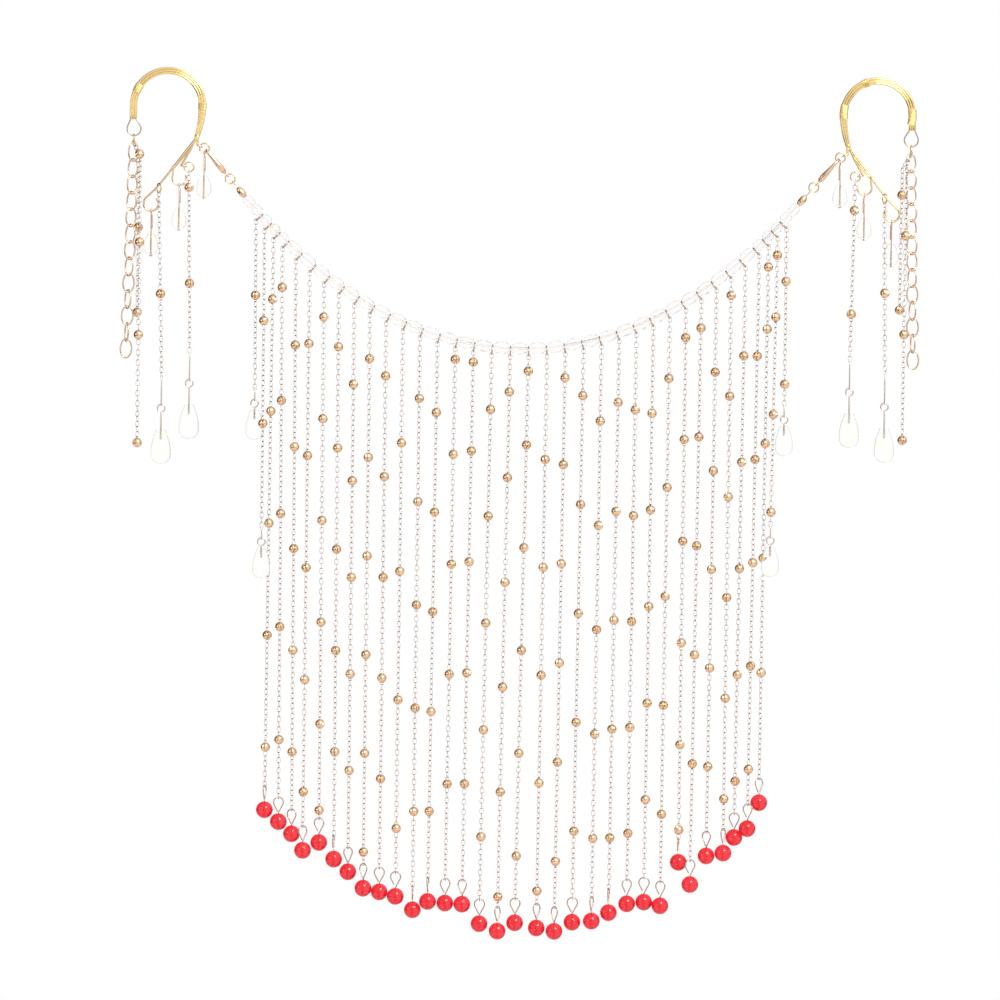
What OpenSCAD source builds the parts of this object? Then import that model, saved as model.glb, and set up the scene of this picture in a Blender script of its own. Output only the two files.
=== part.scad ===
// Ear-hung bead veil: two wire ear hooks joined by a swag of clear beads, from which
// fine ball chains hang. +Z is up and the front of the veil faces -Y. The origin is
// where the left hook sits on the ear, under the middle of its crown.

/* [Swag] */
// Curve of the hanging thread: the radius at its lowest point
swag_radius = 101; // [96:1:106]
// Thread diameter
thread_d = 0.5; // [0.4:0.05:0.6]
// Spacing of the rings with a long bead between them
long_pitch = 6.48; // [6.2:0.02:6.8]
// Spacing of the rings with a short bead between them
short_pitch = 4.5; // [4.3:0.05:4.8]
// Length of each bead between the last ring and the crimp tip
tail_bead = 4.1; // [3.8:0.1:4.4]
// Diameter of the long beads, across their flats
long_bead_d = 4.4; // [4:0.1:4.6]
// Diameter of the short beads, across their flats
short_bead_d = 3.9; // [3.5:0.1:4.2]
// Bore of every clear bead on the thread
bead_bore = 0.9; // [0.85:0.05:1.1]
// Radius of a swag ring, to the middle of its wire
ring_r = 1.7; // [1.6:0.05:1.8]
// Wire of a swag ring
ring_wire = 0.55; // [0.5:0.05:0.6]

/* [Strands] */
// Drop from a swag ring to the red bead, on a strand of share 1
strand_len = 206.7; // [190:1:220]
// Outer diameter of the fine cable chain
chain_d = 1.8; // [1.6:0.1:1.9]
// Wire of the fine chain's links
chain_wire = 0.35; // [0.3:0.05:0.4]
// Gold ball on a chain
ball_d = 3.5; // [3.2:0.1:3.7]
// Spacing of the balls on a strand of share 1
ball_pitch = 37; // [34:0.5:38]
// Red bead
red_bead_d = 5.9; // [5.5:0.1:6]
// How far neighbouring red beads stand before and behind each other, each way
stagger = 0.9; // [0.8:0.1:1.4]
// Bore of a red bead
red_bore = 0.8; // [0.7:0.1:1.2]
// Wire of an eye pin
pin_wire = 0.45; // [0.4:0.05:0.5]
// Length of the longest chain in front of an ear
front_len = 66.6; // [60:0.2:72]
// Length of the longest ball chain behind an ear
back_len = 108; // [95:1:115]
// Height of an eye pin's loop above its bead
eye_height = 5.9; // [5:0.1:6.5]
// Radius of the round top of that loop
eye_r = 1.85; // [1.6:0.05:2]

/* [Clear drops] */
// Drops on the front strands: height
front_drop_h = 12.4; // [12:0.2:14]
// Drops on the front strands: diameter
front_drop_d = 7.2; // [6:0.1:8]
// Drops on the outer swag strands: height
swag_drop_h = 11; // [10:0.2:12.5]
// Drops on the outer swag strands: diameter
swag_drop_d = 6.3; // [5.6:0.1:6.8]
// Wire of a drop's peg
peg_wire = 0.6; // [0.5:0.05:0.7]
// Radius of the ring on top of a peg, to the middle of its wire
peg_ring_r = 1.35; // [1.2:0.05:1.5]
// Length of a head pin on the hook, from its eye to its head
head_pin_len = 15.4; // [13:0.2:18]
// Small teardrop bead on a head pin: height
small_drop_h = 7.8; // [7:0.1:9]
// Small teardrop bead on a head pin: diameter
small_drop_d = 5.3; // [4.6:0.1:5.6]

/* [Ear hooks] */
// Radius of the crown, to the middle of the bundle
crown_r = 12.4; // [11:0.1:14]
// Wire that the bundle is made of
hook_wire = 0.95; // [0.8:0.05:1]
// Wire of the two long branches
branch_wire = 0.65; // [0.55:0.05:0.75]

/* [Clasps and rings] */
// Length of a clasp from its tail eye to its nose
clasp_len = 12; // [11:0.1:13]
// Outer width of a clasp's hook
clasp_w = 5; // [4.8:0.1:5.6]
// Thickness of a clasp's body
clasp_t = 2.1; // [2:0.1:2.6]
// Radius of the joining rings, to the middle of the wire
join_r = 1.75; // [1.7:0.05:1.9]
// Wire of the joining rings
join_wire = 0.5; // [0.45:0.05:0.5]
// Clam tip diameter
clam_d = 2.6; // [2.2:0.1:2.8]

/* [Rear chains] */
// Spacing of the links of an extension chain
link_pitch = 5.9; // [5.6:0.1:6]
// Half length of a link, to the middle of its wire
link_half_len = 3.4; // [3.35:0.05:3.5]
// Half width of a link, to the middle of its wire
link_half_w = 2.05; // [1.9:0.05:2.2]
// Wire of a link
link_wire = 0.65; // [0.55:0.05:0.65]
// Radius of the ring that the rear chains hang from, to the middle of its wire
rear_ring_r = 1.9; // [1.8:0.05:2.1]

/* [Hidden] */
$fn = 32;
clear = 0.1; // least gap between pieces that touch on the real object
small_count = 3; // short beads at each end of the swag
tail_count = 2; // beads between the last ring and the crimp tip
link_count = 13; // links of an extension chain
link_turn = 35; // each link's turn to either side of the front
link_eye_r = 0.85; // radius of a fine chain's last link, to the middle of its wire
gold = "gold";
pale_gold = "#d9a066";
clear_glass = "#e6eef2";

// One row for each strand, from left to right.
// length: share of strand_len. lean: sideways shift of the lower end in mm.
// top: a single ball near the ring, first and step: the row of balls, all as shares of
// ball_pitch from the ring. turn: how the eye faces, in degrees. last: 1 where a ball
// sits right above the eye.
LENGTH = 0;
LEAN = 1;
TOP = 2;
FIRST = 3;
STEP = 4;
TURN = 5;
LAST = 6;
STRANDS = [
    // length lean top first step turn last
    [0.3, -0.8, 0, 0.77, 2, 0, 0],
    [0.525, -0.6, 0, 0.93, 1, 0, 0],
    [1, -1.45, 0, 0.63, 1.09, 75, 0],
    [1.005, 0.4, 0, 0.43, 1.1, 20, 0],
    [1.005, 0.3, 0, 0.87, 0.99, -30, 0],
    [1.013, -0.6, 0, 0.74, 1.09, 40, 0],
    [0.98, 0, 0, 0.37, 0.99, -20, 1],
    [0.99, 0.15, 0, 0.555, 0.985, 85, 0],
    [0.995, -0.2, 0, 0.82, 0.94, 35, 0],
    [1.007, -0.3, 0, 0.48, 0.96, -45, 0],
    [0.999, -0.3, 0, 0.565, 0.98, 15, 0],
    [0.993, -0.4, 0, 1.14, 1.25, -10, 0],
    [1.005, -0.3, 0, 0.64, 1.005, 88, 0],
    [0.98, -1.1, 0, 0.72, 0.97, 80, 0],
    [0.975, -1.2, 0.11, 1.08, 1.07, 25, 0],
    [0.97, -1.5, 0.1, 1.01, 1.08, -35, 0],
    [1, -1.7, 0, 0.58, 1.04, 10, 0],
    [1.01, -1.7, 0.35, 1.23, 1.02, 60, 0],
    [0.995, -2, 0.145, 0.91, 1, -15, 0],
    [1.006, -0.7, 0, 1.06, 1.05, 50, 0],
    [1.015, -0.8, 0.24, 1.13, 0.965, -55, 0],
    [1.005, -0.8, 0, 0.49, 1.06, 5, 0],
    [1.01, -0.2, 0, 0.78, 1.015, 70, 0],
    [1.005, -0.3, 0, 0.65, 1.06, 82, 0],
    [1, 0.1, 0, 0.785, 1.03, 30, 0],
    [1.01, 0.3, 0, 0.89, 0.94, 0, 0],
    [1.03, 0.3, 0, 0.63, 1.06, -25, 0],
    [0.97, 1.05, 0, 0.32, 0.99, 86, 1],
    [1.025, -0.2, 0, 0.32, 1.06, 20, 0],
    [0.9935, 0.2, 0, 0.85, 0.96, -40, 0],
    [1.007, 1.05, 0, 0.21, 0.98, 65, 0],
    [1, -0.05, 0, 0.91, 1.035, 15, 0],
    [1.005, -0.25, 0, 1.03, 1.005, -30, 0],
    [0.975, 0.6, 0.2, 0.85, 1.115, 45, 0],
    [0.51, 0, 0.17, 0.82, 0.95, 0, 0],
    [0.315, 1.4, 0, 0.56, 1, 0, 0],
];
strand_count = len(STRANDS);
long_count = strand_count - 1 - 2 * small_count;
outer_count = 2; // strands at each end of the swag that carry a clear drop
outer_y = [1.9, -3.9]; // how far these stand behind or before the thread, outermost first

// Front strands of each hook, first the outer one. end: sideways place of the chain's
// lower end, from the hook's centre. length: share of front_len. balls: drops from the
// top, as shares of ball_pitch.
LEFT_FRONT = [
    // end length balls
    [-0.8, 1, [0.98]],
    [9.2, 0.98, [0.15, 1.085]],
];
RIGHT_FRONT = [
    // end length balls
    [-3.8, 0.935, [0.87]],
    [8.9, 0.975, [0.28, 1.29]],
];

// Rear ball chains of each hook. side: -1 in front of the extension chain, 1 behind it.
// shift: sideways place of the lower part. length: share of back_len. balls: drops from
// the top, as shares of ball_pitch. One more ball ends each chain.
LEFT_BACK = [
    // side shift length balls
    [-1, 2.9, 1, [0.14, 1, 1.9]],
    [1, 1.9, 0.565, [0.84]],
];
RIGHT_BACK = [
    // side shift length balls
    [-1, 1.9, 0.955, [0.82, 1.78]],
    [1, 3.2, 0.52, [0.43]],
];

// Places along the thread, by arc length from its lowest point
last_ring_s = small_count * short_pitch + long_count * long_pitch / 2;
tail_start = ring_wire / 2 + 2 * clear;
thread_end_s = last_ring_s + tail_start + tail_count * (tail_bead + clear) + clear;
function ring_gap(i) = i < small_count || i >= strand_count - 1 - small_count ? short_pitch : long_pitch;
function ring_s(i) = i == 0 ? -last_ring_s : ring_s(i - 1) + ring_gap(i - 1);
function slope(s) = atan(s / swag_radius);
function thread_at(s) = [
    swag_radius * ln(s / swag_radius + sqrt(1 + pow(s / swag_radius, 2))),
    0,
    sqrt(swag_radius * swag_radius + s * s) - swag_radius,
];
function normal_at(s) = [-sin(slope(s)), 0, cos(slope(s))];
module on_thread(s) translate(thread_at(s)) rotate([0, -slope(s), 0]) children();

// The rings hang from the thread by their inner edge
ring_sag = ring_r - ring_wire / 2 - thread_d / 2 - clear;
function ring_centre(i) = thread_at(ring_s(i)) - ring_sag * normal_at(ring_s(i));
function ring_foot(i) = thread_at(ring_s(i)) - (ring_sag + ring_r) * normal_at(ring_s(i));

// Each strand runs straight from its ring's foot to its red bead or its last link
function from_end(i) = min(i, strand_count - 1 - i);
function is_outer(i) = from_end(i) < outer_count;
function strand_y(i) = is_outer(i) ? outer_y[from_end(i)] : stagger * (from_end(i) % 2 == 0 ? 1 : -1);
function strand_foot(i) = [
    ring_centre(i)[0] + STRANDS[i][LEAN],
    strand_y(i),
    ring_centre(i)[2] - STRANDS[i][LENGTH] * strand_len,
];
function chain_len(i) =
    norm(strand_foot(i) - ring_foot(i)) - (is_outer(i) ? 0 : red_bead_d / 2 + eye_height);

// Places of the left side, from the swag's end upward. The right side mirrors them.
swag_end = thread_at(-thread_end_s);
end_turn = slope(thread_end_s);
outward = [-cos(end_turn), 0, sin(end_turn)];
bail_r = 0.8;
bail_wire = 0.4;
clam_len = 4.4;
bail_neck = 1.3;
tip_len = clam_len + bail_neck + bail_r;
bail_ring = 0.2; // the joining ring lies this far past the bail's middle
tail_eye_r = 0.95;
tail_eye_wall = 0.55;
tail_ring = 0.2;
jump_centre = swag_end + (tip_len + bail_ring + join_r) * outward;
clasp_base = jump_centre + (join_r + tail_ring) * outward;
nose_wall = 0.8;
nose_t = 0.8;
nose_r = clasp_w / 2 - nose_wall;
nose_x = clasp_len - clasp_w / 2;
hold_x = nose_x + nose_r - join_wire / 2 - 0.25; // where the hook's ring lies in the nose
hold_centre = clasp_base + (hold_x + join_r) * outward;

// Hook, measured from the centre of its crown: +X points to the middle of the veil
bundle_w = 3 * hook_wire - 0.2;
eye_small_r = 0.9;
short_eye = [11.6, -14.6];
short_eye_dir = -25;
eye_lap = 0.15; // a ring's middle lies this much farther from an eye's middle than its radius
// A place [x, z] of the XZ plane moved by len: dir from +X to +Z, then turned about +Z
function along(p, len, dir, turn = 0) =
    [p[0], 0, p[1]] + len * [cos(dir) * cos(turn), cos(dir) * sin(turn), sin(dir)];
hook_centre = hold_centre - along(short_eye, join_r + eye_lap, short_eye_dir);
seat = hook_centre + [0, 0, crown_r - bundle_w / 2];
front_leg_r = 35; // the front leg bends back on this radius
front_leg_turn = 19; // through this angle
fork = [crown_r - front_leg_r, 0] + front_leg_r * [cos(front_leg_turn), -sin(front_leg_turn)];
rear_leg = 5; // the rear leg runs this far below the crown's centre
wrap_grow = 0.16; // the wraps of fine wire stand this far out of the bundle
loop_bottom = [-12.1, -11.2];
loop_r = 2.5;
loop_open = 25; // the round part of the rear loop ends this far above its middle
rear_loop_wire = 0.5;
rear_ring = loop_bottom + [0, (rear_loop_wire + join_wire) / 2 + clear - rear_ring_r];
big_curl = [4.5, -26.2];
big_curl_r = 2.6;
big_curl_ends = [160, 315];
low_curl = [-5.5, -35.5];
low_curl_r = 2.75;
low_curl_ends = [140, 300];
ring_b_eye = [6, -21.9];
ring_b_dir = -10;
ring_a_hold = [-3.2, -29.6];
ring_a_dir = -25;
curl_root = fork + 0.6 * (ring_a_hold - fork); // where the big curl leaves the long branch
extender_lean = -1.8; // the extension chain's foot hangs this far to the rear
back_spread = 51; // where the rear ball chains sit on their ring, from its lowest point
back_y = 3.75; // and how far they hang before and behind the extension chain
back_knee = 5; // below this height
LEFT_WRAPS = [
    // angle on the crown, length
    [151, 3.2],
    [-1, 2.6],
];
RIGHT_WRAPS = [
    // angle on the crown, length
    [68, 2.2],
    [5, 5],
    [182, 5.6],
];

// Clasp: pivot of its lever, from the tail eye
pivot = [3, 1.1];
boss_r = 2.3;
slot_t = 0.9;
slot_floor = -0.6;
neck_h = 0.75;
lever_t = 0.7;
lever_bar = 0.7;
hub_r = 0.8;
pin_d = 0.7;
tip_reach = 0.8;
thread_hold = 1.1; // depth of the thread's seat in a clam tip
thread_in = 1; // and how far the thread reaches into it

module place() translate(-seat) children();
module side(k) {
    if (k < 0) children();
    else mirror([1, 0, 0]) children();
}
module on_hook(k) side(k) translate(hook_centre) children();

// A wire through points [x, z] of the XZ plane
function turn_dir(p, i, closed) =
    let (
        n = len(p),
        a = closed ? p[(i + n - 1) % n] : p[max(i - 1, 0)],
        b = closed ? p[(i + 1) % n] : p[min(i + 1, n - 1)]
    )
    (b - a) / norm(b - a);
module wire(points, d, sides = 6, closed = false) {
    n = len(points);
    verts = [
        for (i = [0:n - 1])
            let (t = turn_dir(points, i, closed))
            for (k = [0:sides - 1])
                let (a = 360 * (k + 0.5) / sides, w = d / 2 * cos(a), h = d / 2 * sin(a))
                [points[i][0] - w * t[1], h, points[i][1] + w * t[0]]
    ];
    quads = [
        for (i = [0:(closed ? n : n - 1) - 1])
            for (k = [0:sides - 1])
                let (j = (i + 1) % n, l = (k + 1) % sides)
                [i * sides + k, j * sides + k, j * sides + l, i * sides + l]
    ];
    ends = closed ? [] : [
        [for (k = [0:sides - 1]) k],
        [for (k = [0:sides - 1]) n * sides - 1 - k],
    ];
    polyhedron(verts, concat(quads, ends));
}
function arc(centre, r, from, to, steps) = [
    for (i = [0:steps])
        let (a = from + (to - from) * i / steps)
        [centre[0] + r * cos(a), centre[1] + r * sin(a)]
];

module torus(r, d) rotate_extrude() translate([r, 0]) circle(d = d, $fn = 16);
// A ring that faces the front
module front_ring(r, d) rotate([90, 0, 0]) torus(r, d);
// A ring seen edge-on, whose plane holds Y and a direction in the XZ plane
module side_ring(r, d, dir = 90) rotate([0, -dir, 0]) torus(r, d);
// Children built downward from p end at q
module hang(p, q) {
    d = q - p;
    translate(p) rotate([asin(d[1] / norm(d)), atan2(-d[0], -d[2]), 0]) children();
}

// The last link's middle hangs this far below the wire that it holds
function link_drop(wire_d) = link_eye_r - (chain_wire + wire_d) / 2 - clear;
// Fine chain of length len with balls, from the wire at the top to the wire at the foot
module chain(length, balls, top_wire, foot_wire, top_turn = 0, foot_turn = 0) {
    top = link_drop(top_wire);
    foot = foot_wire > 0 ? link_drop(foot_wire) : 0;
    inset = link_eye_r * 0.6;
    translate([0, 0, -top]) rotate([0, 0, top_turn]) front_ring(link_eye_r, chain_wire);
    translate([0, 0, -length + foot + (foot_wire > 0 ? inset : 0)])
        cylinder(d = chain_d, h = length - top - foot - inset * (foot_wire > 0 ? 2 : 1));
    if (foot_wire > 0)
        translate([0, 0, -length + foot]) rotate([0, 0, foot_turn])
            front_ring(link_eye_r, chain_wire);
    for (b = balls) translate([0, 0, -b]) sphere(d = ball_d);
}

// Balls of a strand, as drops from its ring's foot
function ball_limit(i) = chain_len(i) - ball_d / 2 - 1;
function ball_row(i) =
    let (row = STRANDS[i])
    [
        for (d = [row[FIRST] * ball_pitch - ring_r : row[STEP] * ball_pitch : ball_limit(i)]) d
    ];
function ball_extra(i) = concat(
    STRANDS[i][TOP] > 0 ? [STRANDS[i][TOP] * ball_pitch] : [],
    STRANDS[i][LAST] > 0 ? [ball_limit(i)] : []
);
module strand(i) color(pale_gold) place() {
    hang(ring_foot(i), strand_foot(i))
        chain(chain_len(i), concat(ball_row(i), ball_extra(i)), ring_wire,
            is_outer(i) ? 0 : pin_wire, 0, STRANDS[i][TURN] + 90);
    if (is_outer(i)) translate(strand_foot(i) + [0, 0, loop_lap]) loop_and_peg(outer_loop, outer_neck);
}

// Pieces on the thread
module swag_thread() {
    steps = 76;
    reach = thread_end_s + thread_in;
    color("white") place()
        wire([
            for (i = [0:steps])
                let (p = thread_at(reach * (2 * i / steps - 1)))
                [p[0], p[2]]
        ], thread_d, 8);
}
// A faceted bead along X: eight long facets, eight bevels and a table at each end
module faceted_bead(length, d) {
    bevel = d * 0.2;
    big = 2 * d;
    difference() {
        intersection() {
            rotate([0, 90, 0]) rotate([0, 0, 22.5])
                cylinder(d = d / cos(22.5), h = length, center = true, $fn = 8);
            bevel_block(length, d, bevel, big, 0);
            bevel_block(length, d, bevel, big, 45);
            bevel_block(length, d, bevel, big, 90);
            bevel_block(length, d, bevel, big, 135);
        }
        rotate([0, 90, 0]) cylinder(d = bead_bore, h = length + 1, center = true);
    }
}
module bevel_block(length, d, bevel, big, turn) {
    x = length / 2;
    z = d / 2;
    rotate([turn, 0, 0]) rotate([90, 0, 0]) linear_extrude(big, center = true)
        polygon([
            [-x, -z + bevel], [-x + bevel, -z], [x - bevel, -z], [x, -z + bevel],
            [x, z - bevel], [x - bevel, z], [-x + bevel, z], [-x, z - bevel],
        ]);
}
module crystal_beads() color(clear_glass) place() {
    bare = ring_wire + 4 * clear;
    for (i = [0:strand_count - 2])
        on_thread((ring_s(i) + ring_s(i + 1)) / 2)
            faceted_bead(ring_gap(i) - bare, ring_gap(i) > short_pitch ? long_bead_d : short_bead_d);
    for (k = [-1, 1], j = [0:tail_count - 1])
        on_thread(k * (last_ring_s + tail_start + (j + 0.5) * (tail_bead + clear)))
            faceted_bead(tail_bead - clear, short_bead_d);
}
module swag_rings() color(gold) place()
    for (i = [0:strand_count - 1])
        on_thread(ring_s(i)) translate([0, 0, -ring_sag]) rotate([0, 90, 0])
            torus(ring_r, ring_wire);

// Pin through a red bead, with a teardrop eye that is left open beside the bead
pin_stub = 0.2; // the pin shows this far below its bead
eye_tail = [-0.35, 0.75]; // where the eye's end stops, beside the shank
module eye_pin() {
    foot = red_bead_d / 2;
    centre = [0, foot + eye_height - eye_r];
    lean = asin(eye_r / (centre[1] - foot));
    wire(concat(
        [[0, -foot - pin_stub], [0, foot + pin_stub]],
        arc(centre, eye_r, -lean, 180 + lean, 6),
        [eye_tail + [0, foot]]
    ), pin_wire, 5);
}
module at_red_beads()
    for (i = [outer_count:strand_count - outer_count - 1])
        hang(ring_foot(i), strand_foot(i))
            translate([0, 0, -norm(strand_foot(i) - ring_foot(i))])
                rotate([0, 0, STRANDS[i][TURN]]) children();
module eye_pins() color(pale_gold) place() at_red_beads() eye_pin();
module red_beads() color("crimson") place() at_red_beads()
    difference() {
        sphere(d = red_bead_d);
        cylinder(d = red_bore, h = red_bead_d + 1, center = true);
    }

// Clear pear drop that hangs from the origin by a peg in a blind bore
peg_depth = 3.6;
peg_bore = peg_wire + 0.3;
module pear(h, d) {
    top_r = d * 0.22;
    wide = h - d * 0.45;
    rotate_extrude()
        polygon(concat(
            [[0, 0], [top_r, -0.15]],
            [for (t = [1:5]) [top_r + (d / 2 - top_r) * sin(15 * t), -0.15 - wide * t / 6]],
            [for (a = [0:15:75]) [d / 2 * cos(a), -wide - d * 0.45 * sin(a)]],
            [[0, -h]]
        ));
}
module drop(h, d) difference() {
    pear(h, d);
    translate([0, 0, -peg_depth]) cylinder(d = peg_bore, h = peg_depth + 1);
}
module peg(neck) {
    front_ring(peg_ring_r, peg_wire);
    reach = neck + peg_depth - clear;
    translate([0, 0, -peg_ring_r - reach]) cylinder(d = peg_wire, h = reach);
}
// Long loop at a chain's end that holds the peg's ring, seen edge-on
loop_wire = 0.45;
loop_half_w = 0.65;
module long_loop(length) {
    foot = -length + loop_wire / 2;
    for (y = [-loop_half_w, loop_half_w]) translate([0, y, foot]) {
        cylinder(d = loop_wire, h = -foot - 0.1);
        sphere(d = loop_wire * 1.06);
    }
    translate([0, 0, foot]) rotate([90, 0, 0])
        cylinder(d = loop_wire, h = 2 * loop_half_w, center = true);
}
// The peg's ring rests on the foot of the loop
function ring_below(length) = length - loop_wire - peg_wire / 2 + ring_bite + peg_ring_r;
ring_bite = 0.04;
module loop_and_peg(length, neck) {
    long_loop(length);
    translate([0, 0, -ring_below(length)]) peg(neck);
}
loop_lap = 0.8; // the loop's top sits this deep in the chain's end

// Outer swag strands: their loops, pegs and drops
outer_loop = 5;
outer_neck = 0.8;
outer_strands = [for (i = [0:strand_count - 1]) if (is_outer(i)) i];
module at_outer_ends() for (i = outer_strands)
    translate(strand_foot(i) + [0, 0, loop_lap]) children();

// Front strands
front_loop = 11;
front_neck = 6.3;
front_y = -1.1;
function front_rows(k) = k < 0 ? LEFT_FRONT : RIGHT_FRONT;
// Ring that each front strand hangs from, and the way that it is turned
ring_b = along(ring_b_eye, join_r + eye_lap, ring_b_dir);
ring_a_turn = -62;
ring_a = along(ring_a_hold, join_r - (join_wire + branch_wire) / 2 - 2 * clear, ring_a_dir, ring_a_turn);
function front_top(j) = (j == 0 ? ring_a : ring_b) - [0, 0, join_r];
function front_end(k, j) = [front_rows(k)[j][0], front_y, front_top(j)[2] - front_rows(k)[j][1] * front_len];
module front_strands(k) color(pale_gold) place() on_hook(k)
    for (j = [0, 1]) {
        top = front_top(j);
        end = front_end(k, j);
        hang(top, end)
            chain(norm(end - top), [for (b = front_rows(k)[j][2]) b * ball_pitch],
                join_wire, 0, j == 0 ? ring_a_turn + 90 : 90);
        translate(end + [0, 0, loop_lap]) loop_and_peg(front_loop, front_neck);
    }
module at_front_ends() for (k = [-1, 1], j = [0, 1])
    on_hook(k) translate(front_end(k, j) + [0, 0, loop_lap]) children();

module clear_drops() color(clear_glass) place() {
    at_outer_ends() translate([0, 0, -ring_below(outer_loop) - peg_ring_r - outer_neck])
        drop(swag_drop_h, swag_drop_d);
    at_front_ends() translate([0, 0, -ring_below(front_loop) - peg_ring_r - front_neck])
        drop(front_drop_h, front_drop_d);
}

// Parts of bent wire in the XZ plane, with places as [x, z] and angles from +X to +Z
module at(p) translate([p[0], 0, p[1]]) children();
module rod(p, q, d) at(p) rotate([0, atan2(q[0] - p[0], q[1] - p[1]), 0])
    cylinder(d = d, h = norm(q - p));
module knuckle(p, d) at(p) sphere(d = d * 1.06);
module bend(centre, r, from, to, d) at(centre) rotate([90, 0, 0]) rotate([0, 0, from])
    rotate_extrude(angle = to - from) translate([r, 0]) circle(d = d, $fn = 16);
// An eye of wire that stands edge-on, with its plane along dir
module eye_loop(p, r, d, dir) at(p) side_ring(r, d, dir);
function on_arc(centre, r, a) = centre + r * [cos(a), sin(a)];

// Section of the flat bundle: three wires side by side
module bundle_section(grow) {
    w = bundle_w / 2 + grow;
    t = hook_wire / 2 + grow;
    edge = hook_wire / 4; // how far the outer corners are cut
    seam = hook_wire / 2; // a groove runs here, between two wires
    lip = 0.15; // half its width and its depth
    half = [
        [-w, t / 2], [edge - w, t], [-seam - lip, t], [-seam, t - lip], [lip - seam, t],
        [seam - lip, t], [seam, t - lip], [seam + lip, t], [w - edge, t], [w, t / 2],
    ];
    polygon(concat(half, [for (q = half) -q]));
}
module bundle_bend(centre, r, from, to, grow = 0) at(centre) rotate([90, 0, 0])
    rotate([0, 0, from]) rotate_extrude(angle = to - from, $fn = 96)
        translate([r, 0]) bundle_section(grow);

// Ear hook: a flat bundle that forks into a short branch and two long ones
module ear_hook(k) color(gold) place() on_hook(k) {
    bundle_bend([0, 0], crown_r, 0, 180);
    at([-crown_r, -rear_leg]) linear_extrude(rear_leg) bundle_section(0);
    bundle_bend([crown_r - front_leg_r, 0], front_leg_r, -front_leg_turn, 0);
    for (w = k < 0 ? LEFT_WRAPS : RIGHT_WRAPS)
        let (half = w[1] / 2 * 180 / (PI * crown_r))
        bundle_bend([0, 0], crown_r, w[0] - half, w[0] + half, wrap_grow);
    bundle_bend([crown_r - front_leg_r, 0], front_leg_r, 1 - front_leg_turn,
        3.5 - front_leg_turn, wrap_grow);
    // The thin loop behind the ear
    rear_top = [-crown_r, 0.3 - rear_leg];
    for (a = [loop_open, 180 - loop_open]) {
        foot = on_arc(loop_bottom + [0, loop_r], loop_r, a);
        rod(foot, rear_top + [a < 90 ? 0.5 : -0.5, 0], rear_loop_wire);
        knuckle(foot, rear_loop_wire);
    }
    bend(loop_bottom + [0, loop_r], loop_r, 180 - loop_open, 360 + loop_open, rear_loop_wire);
    // The short branch and its eye
    short_foot = short_eye - eye_small_r * [cos(short_eye_dir), sin(short_eye_dir)];
    rod(fork + [0.4, 0.4], short_foot, branch_wire * 0.9);
    eye_loop(short_eye, eye_small_r, branch_wire, short_eye_dir);
    // The long branch, down to the low curl
    low_start = on_arc(low_curl, low_curl_r, low_curl_ends[0]);
    rod(fork, ring_a_hold, branch_wire);
    knuckle(ring_a_hold, branch_wire);
    rod(ring_a_hold, low_start, branch_wire);
    knuckle(low_start, branch_wire);
    bend(low_curl, low_curl_r, low_curl_ends[0], low_curl_ends[1], branch_wire);
    // The middle branch, with the eye of its ring
    middle_foot = ring_b_eye - eye_small_r * [cos(ring_b_dir), sin(ring_b_dir)];
    rod(fork + [0.4, 0], middle_foot, branch_wire * 0.9);
    eye_loop(ring_b_eye, eye_small_r, branch_wire, ring_b_dir);
    // The big open curl grows from the long branch
    curl_start = on_arc(big_curl, big_curl_r, big_curl_ends[0]);
    rod(curl_root, curl_start, branch_wire * 0.9);
    knuckle(curl_start, branch_wire);
    bend(big_curl, big_curl_r, big_curl_ends[0], big_curl_ends[1], branch_wire);
}

// Clasp along X from its tail eye to its nose, flat in XY
module clasp_frame(k) side(k)
    translate(clasp_base) rotate([0, 180 + end_turn, 0]) children();
module clasp(k) color(pale_gold) place() clasp_frame(k) {
    half_w = clasp_w / 2;
    linear_extrude(nose_t, center = true) {
        difference() {
            translate([nose_x, 0]) circle(r = half_w);
            translate([nose_x, 0]) circle(r = nose_r);
            translate([nose_x - clasp_w, -clasp_w]) square([clasp_w, 2 * clasp_w]);
        }
        translate([nose_x - tip_reach, nose_r]) square([tip_reach + 0.1, nose_wall]);
        translate([pivot[0], -half_w]) square([nose_x - pivot[0] + 0.1, nose_wall]);
    }
    difference() {
        union() {
            translate([tail_eye_r, slot_floor, -nose_t / 2])
                cube([pivot[0] - tail_eye_r, neck_h, nose_t]);
            cylinder(r = tail_eye_r + tail_eye_wall / 2, h = nose_t, center = true);
        }
        cylinder(r = tail_eye_r - tail_eye_wall / 2, h = nose_t + 1, center = true);
    }
    difference() {
        translate([pivot[0], 0, 0]) cylinder(r = boss_r, h = clasp_t, center = true);
        translate([pivot[0] - boss_r, slot_floor, -slot_t / 2])
            cube([2 * boss_r + 1, 2 * boss_r, slot_t]);
    }
    translate([pivot[0], pivot[1], 0]) cylinder(d = pin_d, h = clasp_t - 0.2, center = true);
}
// The lever lies in the clasp's slot, turns on its pin and rests inside the nose
module lever(k) color(gold) place() clasp_frame(k)
    translate([0, 0, -lever_t / 2]) linear_extrude(lever_t) {
        tip = [nose_x - tip_reach / 3, nose_r - clear];
        difference() {
            union() {
                translate(pivot) circle(r = hub_r);
                polygon([
                    pivot + [0, hub_r - 0.05], pivot + [0.3, 0.05 - hub_r], tip - [0, lever_bar],
                    tip, pivot + [1, tip[1] - pivot[1]],
                ]);
                polygon([
                    pivot + [0.2, 0.2], pivot + [-0.1, hub_r + 0.9], pivot + [-1.5, hub_r + 1.1],
                    pivot + [-1.3, hub_r + 0.5], pivot + [-0.5, 0.1],
                ]);
            }
            translate(pivot) circle(d = pin_d + 2 * clear);
        }
    }

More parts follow.
